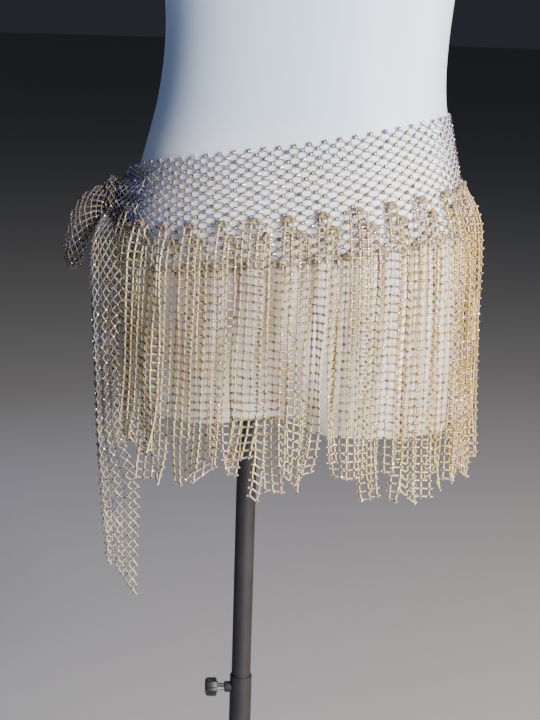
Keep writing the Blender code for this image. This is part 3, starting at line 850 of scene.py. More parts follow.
def knit(net, name, thread, yarn, stone_radius, seed, swell=1.0, stone=small_stone):
    """Run the tree on a net, and keep only the finished mesh."""
    laid_out = net.as_object(name + "_layout")
    maker = laid_out.modifiers.new("net", "NODES")
    maker.node_group = NET_TREE
    values = {
        "Thread Radius": thread,
        "Thread Sides": THREAD_SIDES,
        "Thread Material": yarn,
        "Stone": stone,
        "Stone Radius": stone_radius,
        "Stone Lift": thread * swell * STONE_LIFT / stone_radius,
        "Seed": seed,
    }
    for label, value in values.items():
        maker[NET_SOCKETS[label]] = value
    depsgraph = bpy.context.evaluated_depsgraph_get()
    mesh = bpy.data.meshes.new_from_object(laid_out.evaluated_get(depsgraph), depsgraph=depsgraph)
    mesh.name = name
    for label in SPENT_ATTRIBUTES:
        if label in mesh.attributes:
            mesh.attributes.remove(mesh.attributes[label])
    bpy.data.objects.remove(laid_out, do_unlink=True)
    return add_object(name, mesh)

# %% [markdown]
# ## The band
#
# The band is net pulled on the bias: flat six-sided cells, longer along the band
# than high. A crossing is a short thick pinch with a stone on it, and of the
# threads to its right the one that runs down is thicker and deeper in colour
# than the one that runs up. The upper edge slopes down to the knot, where the
# cloth is pulled narrow, its rows crowd into level gathers, its stones get fewer
# and its yarn is painted dark as shade. Rows follow the depth below the upper edge,
# and columns follow the distance round the hips, so every cell keeps the size of
# the real one.

# %% Where the band lies
BAND_MIDDLE = 0.960
BAND_TILT = 0.0275
BAND_HEIGHT = 0.106
BAND_OUT = 0.0016
BAND_GATHERS = 4
TIE_ANGLE = 195.0
TIE_NARROWING = Hump(0.62, TIE_ANGLE, 20.0)
TIE_DIP = Hump(0.006, TIE_ANGLE, 14.0)
TIE_LIFT = Hump(0.006, TIE_ANGLE, 8.0)
PLEAT_CREST = 0.0014
PLEATS = Hump(PLEAT_CREST, TIE_ANGLE, 34.0)
BAND_GIRTH_LEVEL = 0.91
GIRTH_STEP = 0.5
UP = Vector((0.0, 0.0, 1.0))


def band_top(angle):
    """Height of the band's upper edge."""
    level = BAND_MIDDLE + BAND_TILT * cos(radians(angle))
    return level - hump_at(TIE_DIP, angle)


def band_level(angle, depth):
    """Height of a line of the band that lies depth below its upper edge in the flat."""
    return band_top(angle) - depth * (1 - hump_at(TIE_NARROWING, angle))


def pleat_crest(angle):
    """How far the gathers stand out near the knot."""
    return hump_at(PLEATS, angle)


def band_point(angle, depth):
    """A point of the band's net and the direction it faces."""
    wave = 0.5 - 0.5 * cos(2 * pi * BAND_GATHERS * depth / BAND_HEIGHT)
    place, outward, _ = form_frame(angle, band_level(angle, depth))
    out = BAND_OUT + wave * pleat_crest(angle) + hump_at(TIE_LIFT, angle)
    return place + outward * out, outward


def girth_table(start, end, height):
    """Distances round the hips at one height, each with its angle."""
    table = [(0.0, start)]
    previous = form_point(start, height)
    for i in range(1, int((end - start) / GIRTH_STEP) + 1):
        angle = start + GIRTH_STEP * i
        point = form_point(angle, height)
        table.append((table[-1][0] + (point - previous).length, angle))
        previous = point
    return table


def angle_at(table, distance):
    """The angle at a distance along the girth."""
    distance = min(max(distance, 0.0), table[-1][0])
    for (near, first), (far, second) in zip(table, table[1:]):
        if distance <= far:
            return first + (second - first) * (distance - near) / (far - near)
    return table[-1][1]


band_girth = girth_table(TIE_ANGLE, TIE_ANGLE + 360.0, BAND_GIRTH_LEVEL)
print(f"round the band: {band_girth[-1][0]:.3f} m")

# %% Lay out and knit the band
BAND_PITCH = 0.0144
BAND_ROWS = 25
BAND_THREAD = 0.00061
BAND_STONE = 0.00200
BAND_TINTS = (0.25, 0.75)
BARE = Hump(0.75, TIE_ANGLE, 20.0)
# A pinch is half the length of the thick crossing, and the bias leans the columns.
PINCH = 0.0006
BIAS = 0.17
PINCH_SWELL = 1.6
PINCH_END_SWELL = 1.3
THREAD_EVEN = 0.95
THREAD_LEAN = 0.32
STUB_RISE = 0.0020
STUB_SPREAD = 0.0018
# The yarn is painted in shade, dark grey, between a tint of 1.5 and one of 2.5.
SHADE_TINT = 2.3
BAND_KNOT_SHADE = Hump(1.0, TIE_ANGLE, 15.0)
LAYOUT_SEED = 11


def uneven(chance, size):
    """A small random amount, either way."""
    return chance.uniform(-size, size)


def toward_shade(tint, share):
    """A tint moved by a share of its way to the painted shade's."""
    return tint + (SHADE_TINT - tint) * share


def lay_band(chance):
    """The band's net: thick pinched crossings, slanted threads and stubs at both edges."""
    net = Net()
    girth = band_girth[-1][0]
    columns = 2 * round(girth / BAND_PITCH)
    step = girth / columns
    row_step = (BAND_HEIGHT - STUB_RISE) / BAND_ROWS

    def on_band(distance, depth):
        """A point at a distance round the hips, leaned along the bias."""
        return band_point(angle_at(band_girth, (distance + BIAS * depth) % girth), depth)

    def thread_point(distance, depth, tint, swell=1.0):
        """A point of a thread, without a stone."""
        return net.point(*on_band(distance, depth), tint=tint, swell=swell)

    ends = {}
    for row in range(BAND_ROWS + 1):
        depth = STUB_RISE + row_step * row
        for column in range(row % 2, columns, 2):
            distance = column * step
            angle = angle_at(band_girth, distance)
            # Painted shade: the band's yarn darkens towards the knot.
            tint = toward_shade(chance.uniform(*BAND_TINTS), hump_at(BAND_KNOT_SHADE, angle))
            stoned = chance.random() < 1 - hump_at(BARE, angle)
            middle = net.point(*on_band(distance, depth), stoned, tint, PINCH_SWELL)
            pair = [thread_point(distance + side * PINCH, depth, tint, PINCH_END_SWELL) for side in (-1, 1)]
            for end in pair:
                net.link(middle, end)
            ends[row, column] = pair, tint
            if row in (0, BAND_ROWS):
                away = -STUB_RISE if row == 0 else STUB_RISE
                for side in (-1, 1):
                    net.link(middle, thread_point(distance + side * STUB_SPREAD, depth + away, tint))
    for (row, column), ((_, right), tint) in ends.items():
        for other in (row - 1, row + 1):
            neighbour = ends.get((other, (column + 1) % columns))
            if neighbour is None:
                continue
            lean = (other - row) * THREAD_LEAN
            depth = STUB_RISE + row_step * (row + other) / 2
            thin = thread_point((column + 0.5) * step, depth, tint - lean, THREAD_EVEN + lean)
            net.link(right, thin)
            net.link(thin, neighbour[0][0])
    return net


# %% Gather the band into the knot
KNOT_HEIGHT = 0.896
PULL_ANGLE = 24.0
PULL_END = 3.0
PULL_HALF = 0.009
PULL_THROAT = 0.018
PULL_OUT = 0.012
PULL_FOLD = 0.0011
PULL_SHADE = 0.8
PULL_COLUMNS = 10
PULL_ROWS = 12
PULL_TAPER = 1.4
PULL_FOLDS = 3
PULL_PHASE = 0.8
PULL_LIFT = 0.0012
PULL_UNEVEN = 0.0005
PULL_STONED = 0.6
PULL_TINTS = (0.1, 0.7)
PULL_SWELL = 1.2


def lay_pull(net, side, chance):
    """Gathered cloth that runs from the band into one side of the knot."""
    grid = {}
    for column in range(PULL_COLUMNS + 1):
        near = column / PULL_COLUMNS
        angle = TIE_ANGLE + side * (PULL_ANGLE * (1 - near) + PULL_END * near)
        half = PULL_HALF * (1 - near) ** PULL_TAPER + PULL_THROAT
        for row in range(column % 2, PULL_ROWS + 1, 2):
            share = 2 * row / PULL_ROWS - 1
            fold = PULL_FOLD * cos(PULL_FOLDS * pi * share + PULL_PHASE)
            out = BAND_OUT + pleat_crest(angle) + PULL_LIFT + PULL_OUT * near**2 + fold
            height = KNOT_HEIGHT + share * half + uneven(chance, PULL_UNEVEN)
            place, facing, _ = form_frame(angle, height)
            stoned = chance.random() < PULL_STONED
            # Painted shade: the gathered cloth by the knot is darkened.
            tint = toward_shade(chance.uniform(*PULL_TINTS), PULL_SHADE)
            grid[column, row] = net.point(place + facing * out, facing, stoned, tint, PULL_SWELL)
    net.link_diamonds(grid)


chance = random.Random(LAYOUT_SEED)
band_net = lay_band(chance)
for side in (-1, 1):
    lay_pull(band_net, side, chance)
band = knit(
    band_net, "band_net", BAND_THREAD, band_yarn, BAND_STONE, seed=3, swell=PINCH_SWELL, stone=large_stone
)
join_frame(band, "display", ["hip_band"])

# %% [markdown]
# ## The hanging strips
#
# Each strip is a ribbon of square net, one to three cells wide, with the cut
# threads left as short stubs along both edges and a stone on every crossing. A
# flat rosette of darker cord fixes it to the band. The strips hang in three
# rows, each row a little further out and higher than the one below it. A strip
# is laid out as a ladder of points along its own centre line, which lets it
# sway, twist and curl a little at its free end as real ones do. The yarn is
# painted golden at the wearer's left, where the warm side light falls, painted
# paler at the free ends and in front of the knot, where more light falls, and
# painted dark in the shade right beside the knot.

# %% Where the strips hang
FringeRow = namedtuple("FringeRow", "name node depth layer cells lengths stagger")
# A row's stagger shifts its strips by a share of the distance between two of them.
UPPER_LENGTHS = (0.2265, 0.2405, 0.2315)
MIDDLE_LENGTHS = (0.2285, 0.2175, 0.2365)
LOWER_LENGTHS = (0.2075, 0.2235, 0.2155, 0.2015)
FRINGE_ROWS = (
    FringeRow("upper_strips", "fringe_upper", 0.0565, 0.0109, (1, 2, 1, 2, 1, 3, 1), UPPER_LENGTHS, 0),
    FringeRow("middle_strips", "fringe_middle", 0.0705, 0.0081, (1, 2, 1, 2, 1), MIDDLE_LENGTHS, 1 / 3),
    FringeRow("lower_strips", "fringe_lower", 0.0945, 0.0045, (1, 2), LOWER_LENGTHS, 2 / 3),
)
STRIPS_PER_ROW = 28
ROW_STAGGER = 1 / 3
ROW_FIRST_ANGLE = 206.0
ROW_LAST_ANGLE = 546.0
FIRST_STRIP = 0.008
GIRTH_LEVEL = 0.88
BASE_OUT = 0.0023
BACKING_HEIGHT = 0.005
ROSETTE_OUT = 0.0045
NET_CELL = 0.0076
NET_STUB = 0.0030
STRIP_SWAY = 0.0022
STRIP_SETTLE = 0.035
STRIP_TURN_IN = 0.02
STRIP_START = 0.006
ROSETTE_DROP = 0.005
LENGTH_SPREAD = 0.011
LENGTH_TILT = 0.034
STRIP_FLARE = 0.03
HANG_LEVEL = 0.835
BULGE = Hump(0.016, 188.0, 16.0)
BULGE_DROP = 0.07
SIZE_SEED = 7


def hanging_point(angle, height, out, loose):
    """A point of a hanging layer: straight down below the widest level, and out at the knot."""
    bulge = hump_at(BULGE, angle) * loose
    flare = STRIP_FLARE * max(0.0, HANG_LEVEL - height)
    place = form_point(angle, max(height, HANG_LEVEL), out + bulge + flare)
    place.z = height
    return place


def hanging_frame(angle, height, out, loose):
    """A hanging layer's point, and the level directions out of it and along it."""
    step = 1.0
    before = hanging_point(angle - step, height, out, loose)
    after = hanging_point(angle + step, height, out, loose)
    along = (after - before).normalized()
    outward = Vector((along.y, -along.x, 0.0))
    return hanging_point(angle, height, out, loose), outward, along


# %% One strip's own shape
# Threads are thicker at a knot and thinner between two, as shares of their radius.
KNOT_SWELL = 1.1
THIN = 0.95
SIDE_TURN = Hump(radians(32.0), 350.0, 16.0)
TIE_TURN = Hump(radians(45.0), 205.0, 12.0)
# Painted light and shade by angle round the hips: dark beside the knot, paler where the front light falls,
# golden where the warm side light falls.
TIE_SIDE_SHADE = Hump(1.0, 205.0, 12.0)
FRONT_LIT_SIDE = Hump(0.6, 226.0, 13.0)
WARM_LIT_SIDE = Hump(1.0, 345.0, 38.0)
# Painted light: strips grow paler towards their free ends.
LIT_END_RISE = 0.9
LIT_END_START = 0.72
LIT_END_LIMIT = 1.4
PLAIN_TINTS = (-0.2, 0.9)
WARM_LIT_TINTS = (-0.9, 0.1)
FREE_END = 0.06
TWISTS = 1.3
RIPPLE = 0.0006
RIPPLES = 2.1
SLANT_POWER = 4
ACROSS_UNEVEN = 0.0004
DROP_UNEVEN = 0.0003
STUB_UNEVEN = 0.0006
STUB_LENGTHS = (0.7, 1.05)
LAST_STUB = 0.6
Strip = namedtuple("Strip", "angle top out cells length sway turn twist phase curl lean slant")


def strip_point(strip, drop, across):
    """A point of a strip's net, and the direction it faces."""
    settled = min(1.0, drop / STRIP_SETTLE)
    out = pleat_crest(strip.angle) + ROSETTE_OUT + (strip.out - ROSETTE_OUT) * settled
    loose = min(1.0, drop / BULGE_DROP)
    place, outward, along = hanging_frame(strip.angle, strip.top - drop, out, loose)
    share = drop / strip.length
    free = max(0.0, (drop - (strip.length - FREE_END)) / FREE_END)
    side_turn = hump_at(SIDE_TURN, strip.angle) - hump_at(TIE_TURN, strip.angle)
    turn = strip.turn + side_turn + strip.twist * sin(2 * pi * (TWISTS * share + strip.phase))
    turn = turn * min(1.0, drop / STRIP_TURN_IN) + strip.curl * free**2
    place += along * (strip.sway * share + strip.lean * free**2)
    place += outward * (RIPPLE * sin(2 * pi * (RIPPLES * share + strip.phase)) * share)
    line = along * cos(turn) + outward * sin(turn)
    return place + line * across, outward * cos(turn) - along * sin(turn)


def lay_strip(net, strip, chance):
    """The ladder of square cells with its knots, and the stubs along its edges."""
    columns = strip.cells + 1
    rows = int((strip.length - STRIP_START - NET_STUB / 2) / NET_CELL)
    # Painted light and shade: golder under the warm side light, paler under the front light, dark in the
    # shade beside the knot.
    warm_lit = hump_at(WARM_LIT_SIDE, strip.angle)
    tint = chance.uniform(*PLAIN_TINTS) * (1 - warm_lit) + chance.uniform(*WARM_LIT_TINTS) * warm_lit
    tint = toward_shade(tint + hump_at(FRONT_LIT_SIDE, strip.angle), hump_at(TIE_SIDE_SHADE, strip.angle))

    def shade(row):
        """The strip's tint, painted paler towards its free end, where more light falls."""
        lit_end = tint + LIT_END_RISE * max(0.0, row / rows - LIT_END_START) / (1 - LIT_END_START)
        return min(lit_end, max(tint, LIT_END_LIMIT))

    def between(first, second, row):
        """A thread between two knots, thinner at its middle."""
        a, b = net.points[first], net.points[second]
        thin = net.point((a + b) / 2, net.facing[first], tint=shade(row), swell=THIN)
        net.link(first, thin)
        net.link(thin, second)

    def stub(row, drop, across, swell=1.0):
        """The cut end of a thread, beside the last knot."""
        end = net.point(*strip_point(strip, drop, across), tint=shade(row), swell=swell)
        net.link(line[-1], end)

    previous = []
    for row in range(rows + 1):
        line = []
        for column in range(columns):
            across = NET_CELL * (column - strip.cells / 2)
            drop = STRIP_START + NET_CELL * row + strip.slant * across * (row / rows) ** SLANT_POWER
            wobble = uneven(chance, ACROSS_UNEVEN)
            place, facing = strip_point(strip, drop + uneven(chance, DROP_UNEVEN), across + wobble)
            line.append(net.point(place, facing, True, shade(row), KNOT_SWELL))
            if previous:
                between(previous[column], line[-1], row)
            edge = {0: -1, columns - 1: 1}.get(column)
            if edge:
                reach = across + edge * NET_STUB * chance.uniform(*STUB_LENGTHS)
                stub(row, drop + uneven(chance, STUB_UNEVEN), reach, THIN)
            if row == rows:
                stub(row, drop + NET_STUB * LAST_STUB, across)
        for left, right in zip(line, line[1:]):
            between(left, right, row)
        previous = line


# %% [markdown]
# ## The rosettes
#
# A strip is held to the band by a small flat flower of cord. Its loops are too
# small to be told apart, so it is one lofted button, with an edge of nine low
# petals and a dimple in the middle, and not a wound cord.

# %% One rosette
PETALS = 9
PETAL_DEPTH = 0.07
ROSETTE_RADIUS = 0.0040
ROSETTE_RISE = 0.0022
ROSETTE_PROFILE = ((0.75, -0.9), (1.0, -0.2), (0.94, 0.45), (0.68, 0.70), (0.42, 0.35), (0.16, 0.05))


def add_rosette(shape, place, out, along):
    """A flat knot of yarn with a low petal edge and a dimpled middle."""
    up = out.cross(along)
    sides = 2 * PETALS
    rings = []
    for reach, rise in ROSETTE_PROFILE:
        ring = []
        for i in range(sides):
            turn = 2 * pi * i / sides
            petal = 1 + (PETAL_DEPTH if i % 2 else -PETAL_DEPTH) * reach
            spoke = along * cos(turn) + up * sin(turn)
            ring.append(place + spoke * (ROSETTE_RADIUS * reach * petal) + out * (ROSETTE_RISE * rise))
        rings.append(ring)
    loft_rings(shape, rings)


# %% Knit the three rows
STRIP_THREAD = 0.00092
STRIP_STONE = 0.00140
STRIP_INSET = 0.0016
STRIP_TURNS = (0, 8, 20, 38)
STRIP_TWISTS = (6, 12, 20, 30)
STRIP_CURL = 75
STRIP_LEANS = (-0.009, 0.007)
STRIP_SLANTS = (-0.9, -0.4, 0.0, 0.0, 0.5, 0.9)
ROSETTE_SINK = 0.001


def build_row(row, table, sizes, chance, seed):
    """One row of strips with its rosettes, as one piece."""
    pitch = (table[-1][0] - 2 * FIRST_STRIP) / (STRIPS_PER_ROW - ROW_STAGGER)
    net = Net()
    knots = bmesh.new()
    for i in range(STRIPS_PER_ROW):
        angle = angle_at(table, FIRST_STRIP + pitch * (i + row.stagger))
        cells = row.cells[i % len(row.cells)]
        length = row.lengths[i % len(row.lengths)] + uneven(sizes, LENGTH_SPREAD)
        length += LENGTH_TILT * cos(radians(angle))
        top = band_level(angle, row.depth) - BACKING_HEIGHT / 2
        strip = Strip(
            angle=angle,
            top=top,
            out=BASE_OUT + row.layer - STRIP_INSET,
            cells=cells,
            length=length,
            sway=uneven(sizes, STRIP_SWAY),
            turn=radians(chance.choice((-1, 1)) * chance.choice(STRIP_TURNS)) / cells,
            twist=radians(chance.choice(STRIP_TWISTS)) / cells,
            phase=chance.random(),
            curl=radians(uneven(chance, STRIP_CURL)) / cells,
            lean=chance.uniform(*STRIP_LEANS),
            slant=chance.choice(STRIP_SLANTS),
        )
        lay_strip(net, strip, chance)
        seat, outward, along = form_frame(angle, top - ROSETTE_DROP)
        seat += outward * (BASE_OUT + pleat_crest(angle) + ROSETTE_OUT - ROSETTE_SINK)
        add_rosette(knots, seat, outward, along)
    piece = knit(net, row.name, STRIP_THREAD, strip_yarn, STRIP_STONE, seed, swell=KNOT_SWELL)
    add_rosettes(piece, knots)
    return join_frame(piece, "display", [row.node])


def add_rosettes(piece, knots):
    """Join the rosettes' faces to the knitted mesh, in their own material."""
    index = len(piece.data.materials)
    piece.data.materials.append(rosette_yarn)
    for face in knots.faces:
        face.material_index = index
        face.smooth = True
    bmesh.ops.recalc_face_normals(knots, faces=knots.faces)
    extra = mesh_from("rosettes", knots)
    whole = bmesh.new()
    whole.from_mesh(piece.data)
    whole.from_mesh(extra)
    whole.to_mesh(piece.data)
    whole.free()
    bpy.data.meshes.remove(extra)


sizes = random.Random(SIZE_SEED)
strip_table = girth_table(ROW_FIRST_ANGLE, ROW_LAST_ANGLE, GIRTH_LEVEL)
strip_rows = [build_row(row, strip_table, sizes, chance, seed=20 + i) for i, row in enumerate(FRINGE_ROWS)]

# %% [markdown]
# ## The knot
#
# The band's two ends are crossed over each other at the hip. How they cross on
# the inside doesn't show, so the knot is a lump with four wraps of net, each a
# little smaller than the last and slanted another way, and only the outer one
# has stones. A wound strip of net would show the same and be harder to place.

# %% The knot
KNOT_HALF = Vector((0.010, 0.015, 0.021))
BAND_GAP = 0.0008
CLOTH_WALL = 0.0015
KNOT_GAP = 0.0009
KNOT_SEAT = BAND_GAP + CLOTH_WALL + PLEAT_CREST + KNOT_GAP
KNOT_WRAPS = ((1.0, 0.0), (0.93, 0.9), (0.84, -0.8), (0.74, 1.6))
KNOT_ROWS = 9
KNOT_COLUMNS = 22
KNOT_RIDGES = 3
KNOT_RIDGE = 0.05
KNOT_STONE = 0.0014
KNOT_STONED = 0.5
KNOT_TINTS = (0.1, 0.7)
KNOT_UNEVEN = 0.12
TIE_THREAD = 0.00082


def knot_frame():
    """The knot's middle, and the directions out of the hip and along it."""
    _, out, along = form_frame(TIE_ANGLE, KNOT_HEIGHT)
    middle = form_point(TIE_ANGLE, KNOT_HEIGHT, KNOT_SEAT + KNOT_HALF.x)
    return middle, out, along


def lay_knot(chance):
    """Layers of crossing net, wrapped round the lump at different slants."""
    middle, out, along = knot_frame()
    net = Net()
    for scale, slant in KNOT_WRAPS:
        grid = {}
        for row in range(1, KNOT_ROWS):
            tilt = pi * row / KNOT_ROWS
            for column in range(row % 2, KNOT_COLUMNS, 2):
                turn = 2 * pi * column / KNOT_COLUMNS + slant * sin(tilt) + uneven(chance, KNOT_UNEVEN)
                ridge = 1 + KNOT_RIDGE * cos(KNOT_RIDGES * turn + tilt) * sin(tilt)
                side = along * (KNOT_HALF.y * cos(turn)) + UP * (KNOT_HALF.z * sin(turn))
                offset = side * (sin(tilt) * ridge) - out * (KNOT_HALF.x * cos(tilt))
                stoned = scale == 1.0 and chance.random() < KNOT_STONED
                tint = chance.uniform(*KNOT_TINTS)
                grid[row, column] = net.point(middle + offset * scale, offset.normalized(), stoned, tint)
        net.link_diamonds(grid, KNOT_COLUMNS)
    return net


knot = knit(lay_knot(chance), "knot_net", TIE_THREAD, knot_yarn, KNOT_STONE, seed=31)
join_frame(knot, "display", ["tie_knot"])

# %% [markdown]
# ## The short end
#
# The short end leaves the knot as a gathered tube, bends over and droops, with its
# mouth drawn in but open. A table gives the middle line and the radius at eight
# steps, and five soft folds run along it. The net is laid on this surface ring by
# ring, so that its rows follow the bend, and a last thread runs round the mouth.

# %% The short end
EndRow = namedtuple("EndRow", "height outward rise radius")
END_LINE = (
    (-0.002, 0.001, 0.0090),
    (0.007, 0.001, 0.0118),
    (0.016, -0.004, 0.0130),
    (0.024, -0.013, 0.0130),
    (0.030, -0.025, 0.0124),
    (0.034, -0.039, 0.0116),
    (0.037, -0.053, 0.0104),
    (0.039, -0.067, 0.0092),
)
END_ROWS = tuple(EndRow(step, *values) for step, values in enumerate(END_LINE))
END_FOLDS = 5
END_FOLD_DEPTH = 0.10
END_FLATNESS = 0.72
END_CLOSE_START = 0.78
END_CLOSE = 0.80
END_COLUMNS = 22
END_RISE = 0.0045
END_STONE = 0.0012
END_STONED = 0.55
END_TINTS = (0.0, 0.6)
END_INSET = 0.0006
HEADING_STEP = 0.1
END_UNEVEN = 0.05


def end_point(step, turn, inset=0.0):
    """A point of the tube at a step along the table, and the direction it faces."""
    middle, out, along = knot_frame()

    def centre(at):
        """A point of the tube's middle line."""
        row = blend_rows(END_ROWS, at)
        return middle + out * row.outward + UP * row.rise

    heading = (centre(step + HEADING_STEP) - centre(step - HEADING_STEP)).normalized()
    side = heading.cross(along).normalized()
    closing = max(0.0, step / (len(END_ROWS) - 1) - END_CLOSE_START) / (1 - END_CLOSE_START)
    radius = (blend_rows(END_ROWS, step).radius - inset) * sqrt(1 - END_CLOSE * closing**2)
    fold = 1 + END_FOLD_DEPTH * cos(END_FOLDS * turn)
    spoke = side * (radius * fold * cos(turn)) + along * (radius * fold * END_FLATNESS * sin(turn))
    return centre(step) + spoke, spoke.normalized()


def step_lengths(points):
    """Lengths between one point and the next."""
    return [(b - a).length for a, b in zip(points, points[1:])]


def tube_length():
    """Length of the tube's middle line."""
    middle, out, _ = knot_frame()
    return sum(step_lengths([middle + out * row.outward + UP * row.rise for row in END_ROWS]))


def lay_end(chance):
    """Diamond net round the tube, closed at its mouth by a rim thread."""
    net = Net()
    rows = round(tube_length() / END_RISE)
    grid = {}
    for row in range(rows + 1):
        step = (len(END_ROWS) - 1) * row / rows
        for column in range(row % 2, END_COLUMNS, 2):
            turn = 2 * pi * column / END_COLUMNS + uneven(chance, END_UNEVEN)
            place, facing = end_point(step, turn, END_INSET)
            stoned = chance.random() < END_STONED
            grid[row, column] = net.point(place, facing, stoned, chance.uniform(*END_TINTS))
    net.link_diamonds(grid, END_COLUMNS)
    for column in range(rows % 2, END_COLUMNS, 2):
        net.link(grid[rows, column], grid[rows, (column + 2) % END_COLUMNS])
    return net


short_end = knit(lay_end(chance), "short_end_net", TIE_THREAD, knot_yarn, END_STONE, seed=41)
join_frame(short_end, "display", ["tie_end"])

# %% [markdown]
# ## The long end
#
# The long end is a flat piece of net, gathered at the knot, folded lengthwise in
# three pleats and cut to a slanted point. A table gives its place and width at
# nine heights, and a sine across the width makes the pleats. Its upper half is
# gathered narrower than its solid, so that the strips behind it show, and its
# yarn is painted paler towards the tip, where more light falls, and darker in the
# shade by the knot.

# %% The long end
TailRow = namedtuple("TailRow", "height across forward width")
TAIL_ROWS = (
    TailRow(0.5350, -0.0905, -0.105, 0.025),
    TailRow(0.5650, -0.0915, -0.105, 0.028),
    TailRow(0.6150, -0.0935, -0.105, 0.034),
    TailRow(0.6700, -0.0955, -0.105, 0.038),
    TailRow(0.7400, -0.0985, -0.105, 0.038),
    TailRow(0.7950, -0.1040, -0.102, 0.035),
    TailRow(0.8360, -0.1140, -0.088, 0.030),
    TailRow(0.8660, -0.1232, -0.068, 0.022),
    TailRow(0.8860, -0.1245, -0.043, 0.017),
)
TAIL_FACING = 10.0
TAIL_PLEATS = 3
TAIL_PLEAT_SLOPE = 0.16
TAIL_TUCK = 0.42
TAIL_TUCK_SLOPE = 0.22
TAIL_TUCK_START = 0.635
TAIL_TUCK_END = 0.835
TAIL_TUCK_SPAN = 0.055
TAIL_TIP = 0.5190
TAIL_SLANT = 0.042
TAIL_STUB = 0.0022
TAIL_STUB_SLANT = 0.8
TAIL_STUB_TINT = 0.4
TAIL_SWELL = 1.15
# Painted light and shade: the long end's yarn is darker near the knot and paler below these heights.
TAIL_SHADE_HEIGHT = 0.78
TAIL_SHADE_SPAN = 0.18
TAIL_CELLS = 5
TAIL_RISE = 0.0049
TAIL_CROWDING = 1.42
TAIL_THREAD = 0.00084
TAIL_STONE = 0.0013
TAIL_STONED = 0.8
TAIL_TINTS = (-0.7, -0.2)
TAIL_LIT_PALER = 1.2
TAIL_UNEVEN = 0.0003


def clamp(value):
    """A value held between 0 and 1."""
    return min(1.0, max(0.0, value))


def tail_point(height, share):
    """A point across the long end's pleats, share 0 to 1, and the direction it faces."""
    row = blend_rows(TAIL_ROWS, height)
    facing = radians(TAIL_FACING)
    across = Vector((cos(facing), sin(facing), 0.0))
    front = Vector((sin(facing), -cos(facing), 0.0))
    rising = clamp((height - TAIL_TUCK_START) / TAIL_TUCK_SPAN)
    tucked = rising * clamp((TAIL_TUCK_END - height) / TAIL_TUCK_SPAN)
    width = row.width * (1 - TAIL_TUCK * tucked)
    steep = TAIL_PLEAT_SLOPE + TAIL_TUCK_SLOPE * tucked
    wave = steep * width / TAIL_PLEATS * sin(2 * pi * TAIL_PLEATS * share)
    slope = steep * 2 * pi * cos(2 * pi * TAIL_PLEATS * share)
    outer_edge = Vector((row.across, row.forward, height)) - across * (row.width / 2)
    place = outer_edge + across * (width * share) + front * wave
    return place, (front - across * slope).normalized()


def cut_line(share):
    """Height of the slanted cut across the long end."""
    return TAIL_TIP + TAIL_SLANT * (1 - share)


def lay_tail(chance):
    """Upright diamonds from the knot to the slanted cut, crowded at the outer edge."""
    net = Net()
    top = TAIL_ROWS[-1].height
    rows = round((top - TAIL_TIP) / TAIL_RISE)
    columns = 2 * TAIL_CELLS
    grid = {}

    def spot(row, column):
        """Height and share of a crossing."""
        return TAIL_TIP + (top - TAIL_TIP) * row / rows, (column / columns) ** TAIL_CROWDING

    def kept(row, column):
        """Whether a crossing lies above the slanted cut."""
        if not 0 <= column <= columns:
            return False
        height, share = spot(row, column)
        return height >= cut_line(share)

    for row in range(rows + 1):
        for column in range(row % 2, columns + 1, 2):
            held = row == rows or kept(row + 1, column - 1) or kept(row + 1, column + 1)
            if not (kept(row, column) and held):
                continue
            height, share = spot(row, column)
            place, facing = tail_point(height + uneven(chance, TAIL_UNEVEN), share)
            stoned = chance.random() < TAIL_STONED
            # Painted light: the yarn grows paler lower down, where more light falls.
            lit_share = clamp((TAIL_SHADE_HEIGHT - height) / TAIL_SHADE_SPAN)
            tint = chance.uniform(*TAIL_TINTS) + TAIL_LIT_PALER * lit_share
            grid[row, column] = net.point(place, facing, stoned, tint, TAIL_SWELL)
    for (row, column), number in grid.items():
        for side in (-1, 1):
            if (row + 1, column + side) in grid:
                net.link(number, grid[row + 1, column + side])
            if (row - 1, column + side) not in grid:
                reach = Vector((side * TAIL_STUB * TAIL_STUB_SLANT, 0.0, -TAIL_STUB * TAIL_STUB_SLANT))
                end = net.point(net.points[number] + reach, net.facing[number], tint=TAIL_STUB_TINT)
                net.link(number, end)
    return net


tail_net = lay_tail(chance)
long_end = knit(tail_net, "long_end_net", TAIL_THREAD, end_yarn, TAIL_STONE, seed=51, swell=TAIL_SWELL)
join_frame(long_end, "display", ["tie_tail"])

# %% [markdown]
# ## The stand
#
# A flat steel plate carries a tube, and a thinner mast slides in it and is held
# by a screw with a lobed grip. All of it is turned work, so each part is one or
# more profiles swept about their own axis with many sides. The edges that show
# are broken by a small round or chamfer, because a sharp dark edge never catches
# the light.

# %% A turned profile
def sweep(shape, base, axis, profile, sides, lobes=0, index=0, hollow=False):
    """Turn (distance, radius, lobe) rows about an axis, as a solid or as a ring."""
    side = axis.cross(UP).normalized() if abs(axis.z) < 0.5 else Vector((1.0, 0.0, 0.0))
    other = axis.cross(side)
    rings = []
    for distance, radius, lobe in profile:
        ring = []
        for i in range(sides):
            turn = 2 * pi * i / sides
            reach = radius * (1 + lobe * cos(lobes * turn))
            ring.append(base + axis * distance + side * (reach * cos(turn)) + other * (reach * sin(turn)))
        rings.append(ring)
    loft_rings(shape, rings, index, hollow)


